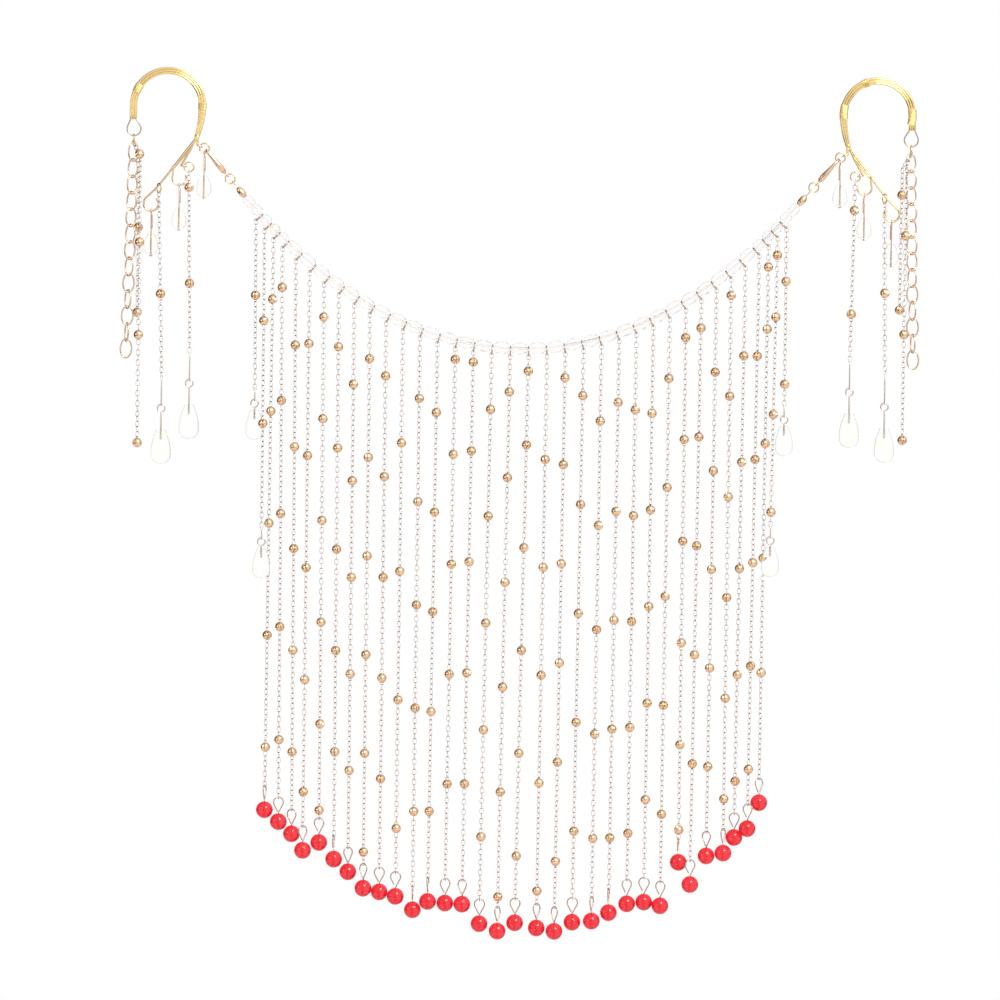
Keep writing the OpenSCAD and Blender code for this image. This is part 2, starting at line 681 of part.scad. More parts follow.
module joining_rings() color(gold) place()
    for (k = [-1, 1]) {
        side(k) translate(hold_centre) front_ring(join_r, join_wire);
        side(k) translate(jump_centre) front_ring(join_r, join_wire);
        on_hook(k) translate(ring_b) front_ring(join_r, join_wire);
        on_hook(k) translate(ring_a) rotate([0, 0, ring_a_turn])
            front_ring(join_r, join_wire);
        on_hook(k) translate([rear_ring[0], 0, rear_ring[1]])
            side_ring(rear_ring_r, join_wire);
    }

// Clam tips, built along the thread's last direction
module crimp_tips() color(gold) place() for (k = [-1, 1])
    side(k) translate(swag_end) rotate([0, 180 + end_turn, 0]) {
        difference() {
            rotate([0, 90, 0]) rotate_extrude()
                polygon([
                    [0, 0], [clam_d * 0.25, 0], [clam_d * 0.42, clam_len * 0.15],
                    [clam_d / 2, clam_len * 0.4], [clam_d * 0.46, clam_len * 0.7],
                    [clam_d * 0.3, clam_len * 0.92], [clam_d * 0.12, clam_len], [0, clam_len],
                ]);
            rotate([0, 90, 0]) cylinder(d = thread_d + 2 * clear, h = 2 * thread_hold, center = true);
        }
        translate([clam_len * 0.9, 0, 0]) rotate([0, 90, 0])
            cylinder(d = bail_wire * 1.2, h = clam_len * 0.1 + bail_neck);
        translate([tip_len, 0, 0]) torus(bail_r, bail_wire);
    }

// Extension chain: oval links turned to either side by turns
module extender(k) color(gold) place() on_hook(k) {
    top = [rear_ring[0], 0, rear_ring[1] - rear_ring_r];
    first = link_half_len - (link_wire + join_wire) / 2 - 2 * clear;
    foot = top + [extender_lean, 0, -link_pitch * link_count];
    hang(top, foot)
        for (i = [0:link_count - 1])
            translate([0, 0, -first - i * link_pitch])
                rotate([0, 0, link_turn * (i % 2 == 0 ? -k : k)])
                    wire([
                        for (a = [0:30:330]) [link_half_w * cos(a), link_half_len * sin(a)]
                    ], link_wire, 6, true);
}

// Ball chains that bend round the extension chain and hang beside it
module back_strands(k) color(pale_gold) place() on_hook(k)
    for (row = k < 0 ? LEFT_BACK : RIGHT_BACK) {
        top = [
            rear_ring[0], row[0] * rear_ring_r * sin(back_spread),
            rear_ring[1] - rear_ring_r * cos(back_spread),
        ];
        knee = [rear_ring[0] + row[1] * 0.9, row[0] * back_y, top[2] - back_knee];
        end = [rear_ring[0] + row[1], row[0] * back_y, top[2] - row[2] * back_len];
        upper = norm(knee - top);
        lower = norm(end - knee);
        balls = concat([for (b = row[3]) b * ball_pitch], [upper + lower]);
        hang(top, knee)
            chain(upper, [for (b = balls) if (b < upper) b], join_wire / cos(back_spread), 0);
        translate(knee) sphere(d = chain_d * 1.02);
        hang(knee, end) {
            translate([0, 0, -lower]) cylinder(d = chain_d, h = lower);
            for (b = balls) if (b >= upper) translate([0, 0, upper - b]) sphere(d = ball_d);
        }
    }

// Head pins and the small drops on them, hung from the middle of a wire of diameter d
low_pin_lean = 8.5; // the lowest pin leans back, clear of the front strand
module at_head_pins() for (k = [-1, 1]) on_hook(k) {
    translate(along(short_eye, join_r + eye_lap, short_eye_dir) - [0, 0, join_r]) children();
    translate([big_curl[0], 0, big_curl[1] - big_curl_r]) children();
    translate([low_curl[0], 0, low_curl[1] - low_curl_r]) rotate([low_pin_lean, 0, 0]) children();
}
head_eye_r = 0.78;
head_eye_drop = head_eye_r - (pin_wire + branch_wire) / 2 - clear;
double_len = 5.4; // the eye's tail is wound down this length of the shank
head_t = 0.35;
module short_drop_pins() color(pale_gold) place() at_head_pins() {
    translate([0, 0, -head_eye_drop]) side_ring(head_eye_r, pin_wire);
    eye_foot = -head_eye_drop - head_eye_r;
    translate([0, 0, eye_foot - double_len]) cylinder(d = 2 * pin_wire, h = double_len - 0.05);
    translate([0, 0, eye_foot - head_pin_len]) {
        cylinder(d = pin_wire, h = head_pin_len);
        cylinder(d = 1.2, h = head_t);
    }
}
module small_drops() color(clear_glass) place() at_head_pins()
    translate([0, 0, -head_eye_drop - head_eye_r - head_pin_len + head_t + clear + small_drop_h])
        difference() {
            pear(small_drop_h, small_drop_d);
            translate([0, 0, -small_drop_h - 1])
                cylinder(d = pin_wire + 2 * clear, h = small_drop_h + 2);
        }

ear_hook(-1);  // ear_hook_left
ear_hook(1);  // ear_hook_right
clasp(-1);  // clasp_left
clasp(1);  // clasp_right
lever(-1);  // lever_left
lever(1);  // lever_right
joining_rings();
crimp_tips();
swag_thread();
crystal_beads();
swag_rings();
eye_pins();
red_beads();
clear_drops();
front_strands(-1);  // front_strands_left
front_strands(1);  // front_strands_right
back_strands(-1);  // back_strands_left
back_strands(1);  // back_strands_right
extender(-1);  // extender_left
extender(1);  // extender_right
short_drop_pins();
small_drops();
strand(0);  // strand_01
strand(1);  // strand_02
strand(2);  // strand_03
strand(3);  // strand_04
strand(4);  // strand_05
strand(5);  // strand_06
strand(6);  // strand_07
strand(7);  // strand_08
strand(8);  // strand_09
strand(9);  // strand_10
strand(10);  // strand_11
strand(11);  // strand_12
strand(12);  // strand_13
strand(13);  // strand_14
strand(14);  // strand_15
strand(15);  // strand_16
strand(16);  // strand_17
strand(17);  // strand_18
strand(18);  // strand_19
strand(19);  // strand_20
strand(20);  // strand_21
strand(21);  // strand_22
strand(22);  // strand_23
strand(23);  // strand_24
strand(24);  // strand_25
strand(25);  // strand_26
strand(26);  // strand_27
strand(27);  // strand_28
strand(28);  // strand_29
strand(29);  // strand_30
strand(30);  // strand_31
strand(31);  // strand_32
strand(32);  // strand_33
strand(33);  // strand_34
strand(34);  // strand_35
strand(35);  // strand_36
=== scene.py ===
# %% [markdown]
# An ear-hung veil of beads and chains, dressed around its fixed solid model.
# Two gold wire hooks sit over the ears. Between them a thread of clear beads hangs in
# a swag, and from its rings fall fine chains with gold balls and red beads.
# The first cell loads the solid model. Its nodes give the places of everything else.

import math
import random

import bpy
import numpy as np
from mathutils import Matrix, Vector


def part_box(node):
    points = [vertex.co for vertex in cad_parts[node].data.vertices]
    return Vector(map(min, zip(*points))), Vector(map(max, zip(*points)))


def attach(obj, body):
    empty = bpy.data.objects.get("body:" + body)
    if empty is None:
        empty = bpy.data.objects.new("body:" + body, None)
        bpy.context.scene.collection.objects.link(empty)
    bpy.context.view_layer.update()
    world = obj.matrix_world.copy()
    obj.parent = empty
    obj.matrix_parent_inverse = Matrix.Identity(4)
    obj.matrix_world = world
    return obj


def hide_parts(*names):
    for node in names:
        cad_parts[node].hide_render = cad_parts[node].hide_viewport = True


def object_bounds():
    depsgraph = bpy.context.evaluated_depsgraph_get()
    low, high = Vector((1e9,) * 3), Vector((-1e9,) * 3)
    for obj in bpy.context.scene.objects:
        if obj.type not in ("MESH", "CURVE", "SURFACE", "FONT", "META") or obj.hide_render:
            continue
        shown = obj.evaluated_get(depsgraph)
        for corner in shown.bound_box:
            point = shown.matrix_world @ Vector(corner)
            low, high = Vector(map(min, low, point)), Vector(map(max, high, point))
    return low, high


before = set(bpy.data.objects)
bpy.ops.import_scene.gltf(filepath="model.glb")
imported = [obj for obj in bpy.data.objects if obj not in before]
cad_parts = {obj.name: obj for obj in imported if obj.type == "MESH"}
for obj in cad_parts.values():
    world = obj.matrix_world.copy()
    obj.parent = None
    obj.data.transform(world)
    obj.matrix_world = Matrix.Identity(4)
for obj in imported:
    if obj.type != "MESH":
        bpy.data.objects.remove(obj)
cad_low, cad_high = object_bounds()
print("solid model from", [round(v, 4) for v in cad_low], "to", [round(v, 4) for v in cad_high])

# %% [markdown]
# The photograph was taken straight from the front, and the veil lies in it turned by
# a little less than a degree. A far camera with a long lens keeps the strands parallel,
# as they are in the photograph. One pixel of the picture is 0.36 mm on the veil.

# %% Camera
MM = 0.001
PIXEL, PICTURE_SIDE = 0.36, 1000
CAMERA_FAR = 3000
VIEW_X, VIEW_Z, VIEW_ROLL = 121.6, -151.5, 0.85
camera = bpy.data.objects.new("camera", bpy.data.cameras.new("camera"))
bpy.context.scene.collection.objects.link(camera)
bpy.context.scene.camera = camera
camera.data.sensor_width = 36
camera.data.lens = camera.data.sensor_width * CAMERA_FAR / (PIXEL * PICTURE_SIDE)
camera.data.clip_end = 100
camera.matrix_world = (
    Matrix.Translation(Vector((VIEW_X, -CAMERA_FAR, VIEW_Z)) * MM)
    @ Matrix.Rotation(math.radians(90), 4, "X")
    @ Matrix.Rotation(math.radians(VIEW_ROLL), 4, "Z")
)
bpy.context.scene.view_settings.view_transform = "Standard"
print("lens", round(camera.data.lens), "mm")

# %% [markdown]
# Shader maths is a chain of Math nodes, which is hard to read. A small class wraps the
# socket of a node instead, so that the same maths is written as a plain sum.

# %% Shader maths


class Value:
    """A number that varies over a surface, and can be added, multiplied and so on."""

    def __init__(self, socket):
        self.socket = socket

    def maths(self, operation, first, second):
        node = self.socket.id_data.nodes.new("ShaderNodeMath")
        node.operation = operation
        for entry, term in zip(node.inputs, (first, second)):
            if isinstance(term, Value):
                self.socket.id_data.links.new(term.socket, entry)
            else:
                entry.default_value = term
        return Value(node.outputs[0])

    def __add__(self, other):
        return self.maths("ADD", self, other)

    def __radd__(self, other):
        return self.maths("ADD", other, self)

    def __sub__(self, other):
        return self.maths("SUBTRACT", self, other)

    def __rsub__(self, other):
        return self.maths("SUBTRACT", other, self)

    def __mul__(self, other):
        return self.maths("MULTIPLY", self, other)

    def __rmul__(self, other):
        return self.maths("MULTIPLY", other, self)


print("shader maths ready")

# %% [markdown]
# Every finish is one Principled shader, because metal, glass and clouded beads only
# differ in its numbers. One method adds any other node: it takes the node's kind and
# settings, and a number, a colour or a link for each of its sockets.

# %% Finishes


class Tree:
    """A node tree. Entries of a node are set or linked by name or number."""

    def __init__(self, tree):
        self.tree = tree

    def set(self, node, sockets):
        for name, value in sockets.items():
            if isinstance(value, Value):
                self.tree.links.new(value.socket, node.inputs[name])
            else:
                node.inputs[name].default_value = value

    def node(self, kind, settings, sockets, out=0):
        made = self.tree.nodes.new(kind)
        for name, value in settings.items():
            setattr(made, name, value)
        self.set(made, sockets)
        return Value(made.outputs[out])

    def axes(self, vector, names="XYZ"):
        """The parts of a vector along the named axes."""
        return [self.node("ShaderNodeSeparateXYZ", {}, {"Vector": vector}, out=name) for name in names]

    def rising(self, value, low, high, run="LINEAR"):
        """0 up to low, 1 from high on and a steady or soft rise between them."""
        return self.node("ShaderNodeMapRange", {"interpolation_type": run},
                         {"Value": value, "From Min": low, "From Max": high})


class Finish(Tree):
    """A material whose Principled shader takes plain numbers, colours or values."""

    def __init__(self, name, **sockets):
        self.material = bpy.data.materials.new(name)
        self.material.use_nodes = True
        super().__init__(self.material.node_tree)
        self.shader = self.tree.nodes["Principled BSDF"]
        self.set(self.shader, {k.replace("_", " "): v for k, v in sockets.items()})

    def place(self):
        return self.node("ShaderNodeTexCoord", {}, {}, out="Object")

    def noise(self, scale, detail=2.0):
        sockets = {"Vector": self.place(), "Scale": scale, "Detail": detail}
        return self.node("ShaderNodeTexNoise", {}, sockets)

    def blend(self, factor, first, second):
        return self.node("ShaderNodeMix", {"data_type": "RGBA"}, {0: factor, 6: first, 7: second}, out=2)


print("finishes ready")

# %% [markdown]
# A product photograph like this one is lit from all sides, so that its background is
# white. Polished metal only shows its form when it mirrors something darker as well.
# So the surroundings are white where the camera looks and bright behind it, above and
# to the right, and darker to the left and below. Two soft lights add the highlights.

# %% Surroundings and lights
world = bpy.data.worlds.new("white studio")
bpy.context.scene.world = world
world.use_nodes = True
studio = Tree(world.node_tree)
right, away, up = studio.axes(studio.node("ShaderNodeTexCoord", {}, {}, out="Generated"))
SHADE, GLOW = 0.11, 0.90
backdrop = studio.rising(away, 0.66, 0.95, "SMOOTHSTEP")
room = studio.rising(0.60 * up - 0.57 * away + 0.56 * right, -0.15, 0.80, "SMOOTHSTEP")
studio.set(world.node_tree.nodes["Background"], {
    "Color": (1, 1, 1, 1),
    "Strength": SHADE + (1 - SHADE) * backdrop + GLOW * room * (1 - backdrop),
})


def soft_light(name, place, aim, size, power):
    light = bpy.data.objects.new(name, bpy.data.lights.new(name, "AREA"))
    bpy.context.scene.collection.objects.link(light)
    light.data.shape = "SQUARE"
    light.data.size = size
    light.data.energy = power
    light.location = place
    light.rotation_euler = (Vector(aim) - Vector(place)).to_track_quat("-Z", "Y").to_euler()


MIDDLE = (cad_low + cad_high) / 2
soft_light("main light", MIDDLE + Vector((0.5, -1.1, 0.9)), MIDDLE, 0.7, 14)
soft_light("side light", MIDDLE + Vector((-1.1, -0.6, 0.2)), MIDDLE, 0.6, 2)
print("two soft lights")

# %% [markdown]
# The metal of all the wires and chains is plated. Plating is never quite even: its
# colour drifts a little, and handling leaves it duller in places. A noise blends two
# close colours and moves the roughness.

# %% Plated metals
DRIFT_SCALE, HANDLED = 260, 0.16
# Heights, and places across, between which the hooks' colour changes, in metres
ROSE_FROM, ROSE_TO, PALER_FROM, PALER_TO, PALER_BY = -0.021, -0.031, 0.1, 0.15, 0.75


def plated(name, light, deep, roughness, mix=None):
    """Metal between two close colours. A mix adds where a second colour lies over them."""
    finish = Finish(name, Metallic=1.0)
    drift = finish.noise(DRIFT_SCALE)
    colour = finish.blend(drift, (*deep, 1), (*light, 1))
    if mix is not None:
        share, second = mix(finish)
        colour = finish.blend(share, colour, (*second, 1))
    finish.set(finish.shader, {"Base Color": colour, "Roughness": roughness + HANDLED * (drift - 0.5)})
    return finish.material


def rosier_below(finish):
    """The hook's wires turn rose gold below the fork, on the left more than on the right."""
    across, height = finish.axes(finish.place(), "XZ")
    below = finish.rising(height, ROSE_FROM, ROSE_TO)
    on_right = finish.rising(across, PALER_FROM, PALER_TO)
    return below * (1 - PALER_BY * on_right), (0.87, 0.64, 0.40)


def painted_crossing_shade(finish):
    """Painted shade: links are darkened at their ends, where they cross and touch each other, and stay
    pale along their sides.
    """
    painted_end_shade = finish.node("ShaderNodeAttribute", {"attribute_name": "painted_end_shade"}, {}, out="Fac")
    # This dark colour is painted shade where the links cross.
    return painted_end_shade, (0.42, 0.27, 0.20)


HOOK_GOLD = plated("yellow gold hook wire", (1.0, 0.81, 0.40), (0.86, 0.64, 0.28), 0.17, rosier_below)
WRAP_GOLD = plated("deeper gold wrap wire", (0.97, 0.73, 0.34), (0.86, 0.60, 0.26), 0.22)
RING_GOLD = plated("yellow gold rings", (0.85, 0.64, 0.34), (0.72, 0.51, 0.25), 0.2)
DULL_RINGS = plated("greyish gold rings", (0.69, 0.52, 0.40), (0.54, 0.39, 0.28), 0.24)
LOOP_GOLD = plated("brownish gold loop", (0.64, 0.50, 0.34), (0.52, 0.39, 0.25), 0.25)
ROSE_LINKS = plated("rose gold links", (0.88, 0.66, 0.46), (0.75, 0.53, 0.36), 0.22)
# The pale chain gets painted shade at the ends of its links, where they cross.
PALE_CHAIN = plated("pale chain", (0.95, 0.88, 0.84), (0.86, 0.78, 0.73), 0.3, painted_crossing_shade)
BALL_GOLD = plated("gold crimp covers", (0.97, 0.68, 0.44), (0.79, 0.49, 0.28), 0.14)
PIN_GOLD = plated("greyish gold pins", (0.62, 0.48, 0.38), (0.48, 0.35, 0.27), 0.24)
ROSE_PINS = plated("rose gold pins", (0.85, 0.62, 0.48), (0.71, 0.49, 0.36), 0.24)
PALE_LOOPS = plated("pale greyish loops", (0.77, 0.69, 0.62), (0.65, 0.57, 0.50), 0.24)
CLASP_GOLD = plated("rose gold clasps", (0.94, 0.67, 0.46), (0.82, 0.55, 0.35), 0.24)
print("twelve plated metals")

# %% [markdown]
# The clear beads are glass with a vapour coat that splits light into faint yellow and
# violet. A thin film on the Principled shader does the same, and its thickness is one
# number for the whole bead. The drops get their warm coat from patches of yellow: a
# noise is stretched so far that it lies near 0 or 1 almost everywhere.

# %% Clear glass
PATCH_SCALE, PATCH_STRETCH, PATCH_START = 140, 6, 3.4


def clear_glass(name, tints, film, bend, roughness=0.03):
    glass = Finish(
        name,
        Roughness=roughness,
        IOR=bend,
        Transmission_Weight=1.0,
        Thin_Film_Thickness=film,
        Thin_Film_IOR=1.25,
    )
    patches = PATCH_STRETCH * glass.noise(PATCH_SCALE, 1.0) - PATCH_START
    glass.set(glass.shader, {"Base Color": glass.blend(patches, (*tints[0], 1), (*tints[1], 1))})
    return glass.material


CRYSTAL = clear_glass("clear coated beads", ((1.0, 0.985, 0.98), (1.0, 0.99, 0.93)), 420, 1.12)
CLEAR_DROP = clear_glass("clear coated drops", ((1.0, 1.0, 0.99), (1.0, 1.0, 0.80)), 0, 1.13)
CLEAR_THREAD = clear_glass("clear beading thread", ((0.96, 0.95, 0.93), (0.92, 0.92, 0.92)), 0, 1.3, 0.2)
print("three clear finishes")

# %% [markdown]
# The red beads are clouded and glossy. Part of the light passes through them, so the
# middle glows against the white and the rim, which bends the light most, stays dark. A
# noise clouds the red, and a weak emission stands for light that wanders inside.

# %% Red beads
bead_red = Finish("translucent red beads", Roughness=0.1, IOR=1.5,
                  Transmission_Weight=0.78, Emission_Strength=0.105)
cloud = bead_red.noise(120, 0.0)
red_colour = bead_red.blend(cloud, (0.83, 0.020, 0.038, 1), (0.95, 0.038, 0.058, 1))
bead_red.set(bead_red.shader, {"Base Color": red_colour, "Emission Color": red_colour})
RED_BEAD = bead_red.material
print("red beads ready")

# %% [markdown]
# All shapes are built in millimetres and turned into metres at the end. A Shape
# gathers many pieces in one mesh, such as the links of a chain, parents it to the body
# that it rides on and hides the solids that it stands for.

# %% Shapes


class Shape:
    def __init__(self):
        self.points = []
        self.faces = []
        self.count = 0

    def add(self, piece, place=None):
        points, faces = piece
        if place is not None:
            points = points @ place[:3, :3].T + place[:3, 3]
            if np.linalg.det(place[:3, :3]) < 0:
                faces = [face[::-1] for face in faces]
        self.points.append(points)
        self.faces.extend([[corner + self.count for corner in face] for face in faces])
        self.count += len(points)

    def make(self, name, material, slot, body="root", nodes=(), flat=False):
        mesh = bpy.data.meshes.new(name)
        mesh.from_pydata((np.concatenate(self.points) * MM).tolist(), [], self.faces)
        mesh.materials.append(material)
        mesh.polygons.foreach_set("use_smooth", [not flat] * len(mesh.polygons))
        made = bpy.data.objects.new(name, mesh)
        bpy.context.scene.collection.objects.link(made)
        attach(made, body)
        if nodes:
            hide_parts(*nodes)
        print(name, "has", len(self.faces), "faces")
        return made


print("shapes ready")

# %% [markdown]
# Most of this veil is wire: a row of small rings along a path, each carried on from
# the last without a twist, with a low dome on an open end. Balls, beads and drops are
# turned from a profile, as on a lathe.

# %% Wire and lathe


def tube_faces(rows, columns, closed=False):
    """Faces round rows of points, capped at both ends unless the last row meets the first."""
    faces = []
    for row in range(rows if closed else rows - 1):
        below = (row + 1) % rows
        for column in range(columns):
            right = (column + 1) % columns
            faces.append([row * columns + column, row * columns + right,
                          below * columns + right, below * columns + column])
    if not closed:
        faces.append(list(range(columns))[::-1])
        faces.append(list(range(columns * (rows - 1), columns * rows)))
    return faces


# A domed wire end in two steps: how far it reaches out and how wide it still is there
DOME = ((0.9, 0.4), (0.55, 0.83))


def sweep(path, radius, sides=8, closed=False):
    """A round wire along a path, with a domed end where it is open."""
    path = np.array(path, float)
    if closed:
        ahead = np.roll(path, -1, 0) - np.roll(path, 1, 0)
    else:
        ahead = np.gradient(path, axis=0)
    ahead /= np.linalg.norm(ahead, axis=1)[:, None]
    radii = np.full(len(path), float(radius)) if np.isscalar(radius) else np.array(radius, float)
    if not closed:
        first, last = radii[0], radii[-1]
        path = np.vstack([[path[0] - ahead[0] * first * reach for reach, _ in DOME], path,
                          [path[-1] + ahead[-1] * last * reach for reach, _ in DOME[::-1]]])
        ahead = np.vstack([ahead[0], ahead[0], ahead, ahead[-1], ahead[-1]])
        radii = np.concatenate([[first * wide for _, wide in DOME], radii,
                                [last * wide for _, wide in DOME[::-1]]])
    side = np.cross(ahead[0], [0, 1, 0])
    if np.linalg.norm(side) < 0.1:
        side = np.cross(ahead[0], [1, 0, 0])
    rings = []
    angles = 2 * np.pi * (np.arange(sides) + 0.5) / sides
    for point, along, r in zip(path, ahead, radii):
        side = side - along * side.dot(along)
        side /= np.linalg.norm(side)
        other = np.cross(along, side)
        rings.append(point + r * (np.cos(angles)[:, None] * side + np.sin(angles)[:, None] * other))
    return np.concatenate(rings), tube_faces(len(path), sides, closed)


def lathe(profile, sides, closed=False):
    """A profile of [radius, height] from low to high, turned round Z."""
    angles = 2 * np.pi * np.arange(sides) / sides
    ring = np.stack([np.cos(angles), np.sin(angles), np.zeros(sides)], 1)
    rows = [ring * r + [0, 0, z] for r, z in profile]
    return np.concatenate(rows), tube_faces(len(profile), sides, closed)


print("wire and lathe ready")

# %% [markdown]
# Pieces are placed by four by four matrices. A chain is built straight down and then
# leaned, so that its foot comes to where the photograph shows it.

# %% Placing pieces


def turned(x=0, y=0, z=0):
    """A turn about X, then Y, then Z, in degrees."""
    made = Matrix.Rotation(math.radians(z), 4, "Z") @ Matrix.Rotation(math.radians(y), 4, "Y")
    return np.array(made @ Matrix.Rotation(math.radians(x), 4, "X"))


def moved(point):
    return np.array(Matrix.Translation(Vector(point)))


def hang(start, end):
    """Local -Z runs from start to end, as a chain hangs."""
    run = np.array(end, float) - start
    tip = math.degrees(math.asin(run[1] / np.linalg.norm(run)))
    return moved(start) @ turned(x=tip, y=math.degrees(math.atan2(-run[0], -run[2])))


def circle(radius, steps, start=0, end=360):
    """Points of a circle in the XZ plane, from +X to +Z."""
    angles = np.radians(np.linspace(start, end, steps, endpoint=(end - start) % 360 != 0))
    return np.stack([radius * np.cos(angles), 0 * angles, radius * np.sin(angles)], 1)


print("a ring of eight points:", circle(1, 8).round(1)[:, ::2].tolist())

# %% [markdown]
# The strands differ in length, in lean and in where their balls sit. One row for each
# strand gives these as in the photograph, and the solid model has the same rows.

# %% Rows of the strands
# One row for each strand, from left to right: length as a share of the full length,
# sideways lean of the foot, a ball near the ring, the first ball and the step to the
# next ones as shares of the pitch, turn of the eye, and 1 where a ball sits on the eye.
STRANDS = [
    (0.3, -0.8, 0, 0.77, 2, 0, 0),
    (0.525, -0.6, 0, 0.93, 1, 0, 0),
    (1, -1.45, 0, 0.63, 1.09, 75, 0),
    (1.005, 0.4, 0, 0.43, 1.1, 20, 0),
    (1.005, 0.3, 0, 0.87, 0.99, -30, 0),
    (1.013, -0.6, 0, 0.74, 1.09, 40, 0),
    (0.98, 0, 0, 0.37, 0.99, -20, 1),
    (0.99, 0.15, 0, 0.555, 0.985, 85, 0),
    (0.995, -0.2, 0, 0.82, 0.94, 35, 0),
    (1.007, -0.3, 0, 0.48, 0.96, -45, 0),
    (0.999, -0.3, 0, 0.565, 0.98, 15, 0),
    (0.993, -0.4, 0, 1.14, 1.25, -10, 0),
    (1.005, -0.3, 0, 0.64, 1.005, 88, 0),
    (0.98, -1.1, 0, 0.72, 0.97, 80, 0),
    (0.975, -1.2, 0.11, 1.08, 1.07, 25, 0),
    (0.97, -1.5, 0.1, 1.01, 1.08, -35, 0),
    (1, -1.7, 0, 0.58, 1.04, 10, 0),
    (1.01, -1.7, 0.35, 1.23, 1.02, 60, 0),
    (0.995, -2, 0.145, 0.91, 1, -15, 0),
    (1.006, -0.7, 0, 1.06, 1.05, 50, 0),
    (1.015, -0.8, 0.24, 1.13, 0.965, -55, 0),
    (1.005, -0.8, 0, 0.49, 1.06, 5, 0),
    (1.01, -0.2, 0, 0.78, 1.015, 70, 0),
    (1.005, -0.3, 0, 0.65, 1.06, 82, 0),
    (1, 0.1, 0, 0.785, 1.03, 30, 0),
    (1.01, 0.3, 0, 0.89, 0.94, 0, 0),
    (1.03, 0.3, 0, 0.63, 1.06, -25, 0),
    (0.97, 1.05, 0, 0.32, 0.99, 86, 1),
    (1.025, -0.2, 0, 0.32, 1.06, 20, 0),
    (0.9935, 0.2, 0, 0.85, 0.96, -40, 0),
    (1.007, 1.05, 0, 0.21, 0.98, 65, 0),
    (1, -0.05, 0, 0.91, 1.035, 15, 0),
    (1.005, -0.25, 0, 1.03, 1.005, -30, 0),
    (0.975, 0.6, 0.2, 0.85, 1.115, 45, 0),
    (0.51, 0, 0.17, 0.82, 0.95, 0, 0),
    (0.315, 1.4, 0, 0.56, 1, 0, 0),
]
COUNT = len(STRANDS)
print(COUNT, "strands")

# %% [markdown]
# The thread hangs in a curve. Places along it are counted from its lowest point, and
# rings sit on it at even steps, closer together at both ends. The same sums as in the
# solid model give them here, and the box of the thread's node says where it hangs.

# %% Places along the thread
SWAG_RADIUS = 101
THREAD_D = 0.5
LONG_PITCH, SHORT_PITCH, TAIL_PITCH = 6.48, 4.5, 4.2
SMALL_COUNT, TAIL_COUNT = 3, 2
RING_R, RING_WIRE = 1.7, 0.55
CLEAR = 0.1

thread_low, thread_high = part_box("swag_thread")
SWAG = np.array([(thread_low.x + thread_high.x) / 2 / MM, 0, thread_low.z / MM + THREAD_D / 2])


def pitch_after(i):
    short = i < SMALL_COUNT or i >= COUNT - 1 - SMALL_COUNT
    return SHORT_PITCH if short else LONG_PITCH


LAST_RING = sum(pitch_after(i) for i in range(COUNT - 1)) / 2
RING_S = [sum(pitch_after(k) for k in range(i)) - LAST_RING for i in range(COUNT)]
THREAD_END = LAST_RING + RING_WIRE / 2 + 2 * CLEAR + TAIL_COUNT * TAIL_PITCH + CLEAR


def slope(s):
    return math.atan(s / SWAG_RADIUS)


def thread_at(s):
    rise = math.hypot(SWAG_RADIUS, s) - SWAG_RADIUS
    return SWAG + [SWAG_RADIUS * math.asinh(s / SWAG_RADIUS), 0, rise]


def below_thread(i, depth):
    turn = slope(RING_S[i])
    return thread_at(RING_S[i]) - depth * np.array([-math.sin(turn), 0, math.cos(turn)])


RING_SAG = RING_R - RING_WIRE / 2 - THREAD_D / 2 - CLEAR
print("thread of", round(2 * THREAD_END), "mm")

# %% [markdown]
# The thread itself is taken as clear nylon and hardly shows. It is a thin wire along the
# curve, and runs on a little at both ends, to its knots inside the clam tips.

# %% Thread
THREAD_KNOT = 1
thread = Shape()
along_thread = np.linspace(-THREAD_END - THREAD_KNOT, THREAD_END + THREAD_KNOT, 120)
thread.add(sweep([thread_at(s) for s in along_thread], THREAD_D / 2))
thread.make("thread", CLEAR_THREAD, "clear_thread", nodes=["swag_thread"])

# %% [markdown]
# Each clear bead is a drilled barrel with ground facets. Rows of eight points, every
# second row turned by half a step, give triangles of the kind that a cutter grinds.
# The faces stay flat, so each one catches the light on its own.

# %% Clear beads on the thread
BEAD_SIDES = 8
BEAD_D, SMALL_BEAD_D, BORE_R = 4.4, 3.9, 0.45


def cut_bead(rows):
    """A bored bead along X. A row is a place along X, a radius and a share of a step."""
    sides = BEAD_SIDES
    points, faces = [], []
    for x, radius, shift in rows:
        for k in range(sides):
            a = 2 * math.pi * (k + shift) / sides
            points.append([x, radius * math.cos(a), radius * math.sin(a)])
    for row in range(len(rows)):
        below = (row + 1) % len(rows)
        drift = rows[below][2] - rows[row][2]
        for k in range(sides):
            a, b = row * sides + k, row * sides + (k + 1) % sides
            c, d = below * sides + k, below * sides + (k + 1) % sides
            if drift > 0:
                faces += [[a, c, b], [b, c, d]]
            elif drift < 0:
                faces += [[a, c, d], [a, d, b]]
            else:
                faces.append([a, c, d, b])
    return np.array(points), faces


def cut_barrel(length, wide):
    """Half of the outline is given and mirrored. Its places are shares of the length."""
    half = [(0.5, BORE_R, 0), (0.5, 0.30 * wide, 0), (0.27, 0.47 * wide, 0.5), (0, 0.5 * wide, 0)]
    rows = half + [(-x, radius, shift) for x, radius, shift in half[-2::-1]]
    return cut_bead([(x * length, radius, shift) for x, radius, shift in rows])


def on_thread(s):
    return moved(thread_at(s)) @ turned(y=-math.degrees(slope(s)))


def add_crystal(s, length, wide):
    """Each bead is turned by chance, so that no two neighbours glint alike."""
    crystals.add(cut_barrel(length, wide), on_thread(s) @ turned(x=rng.uniform(0, 360 / BEAD_SIDES)))


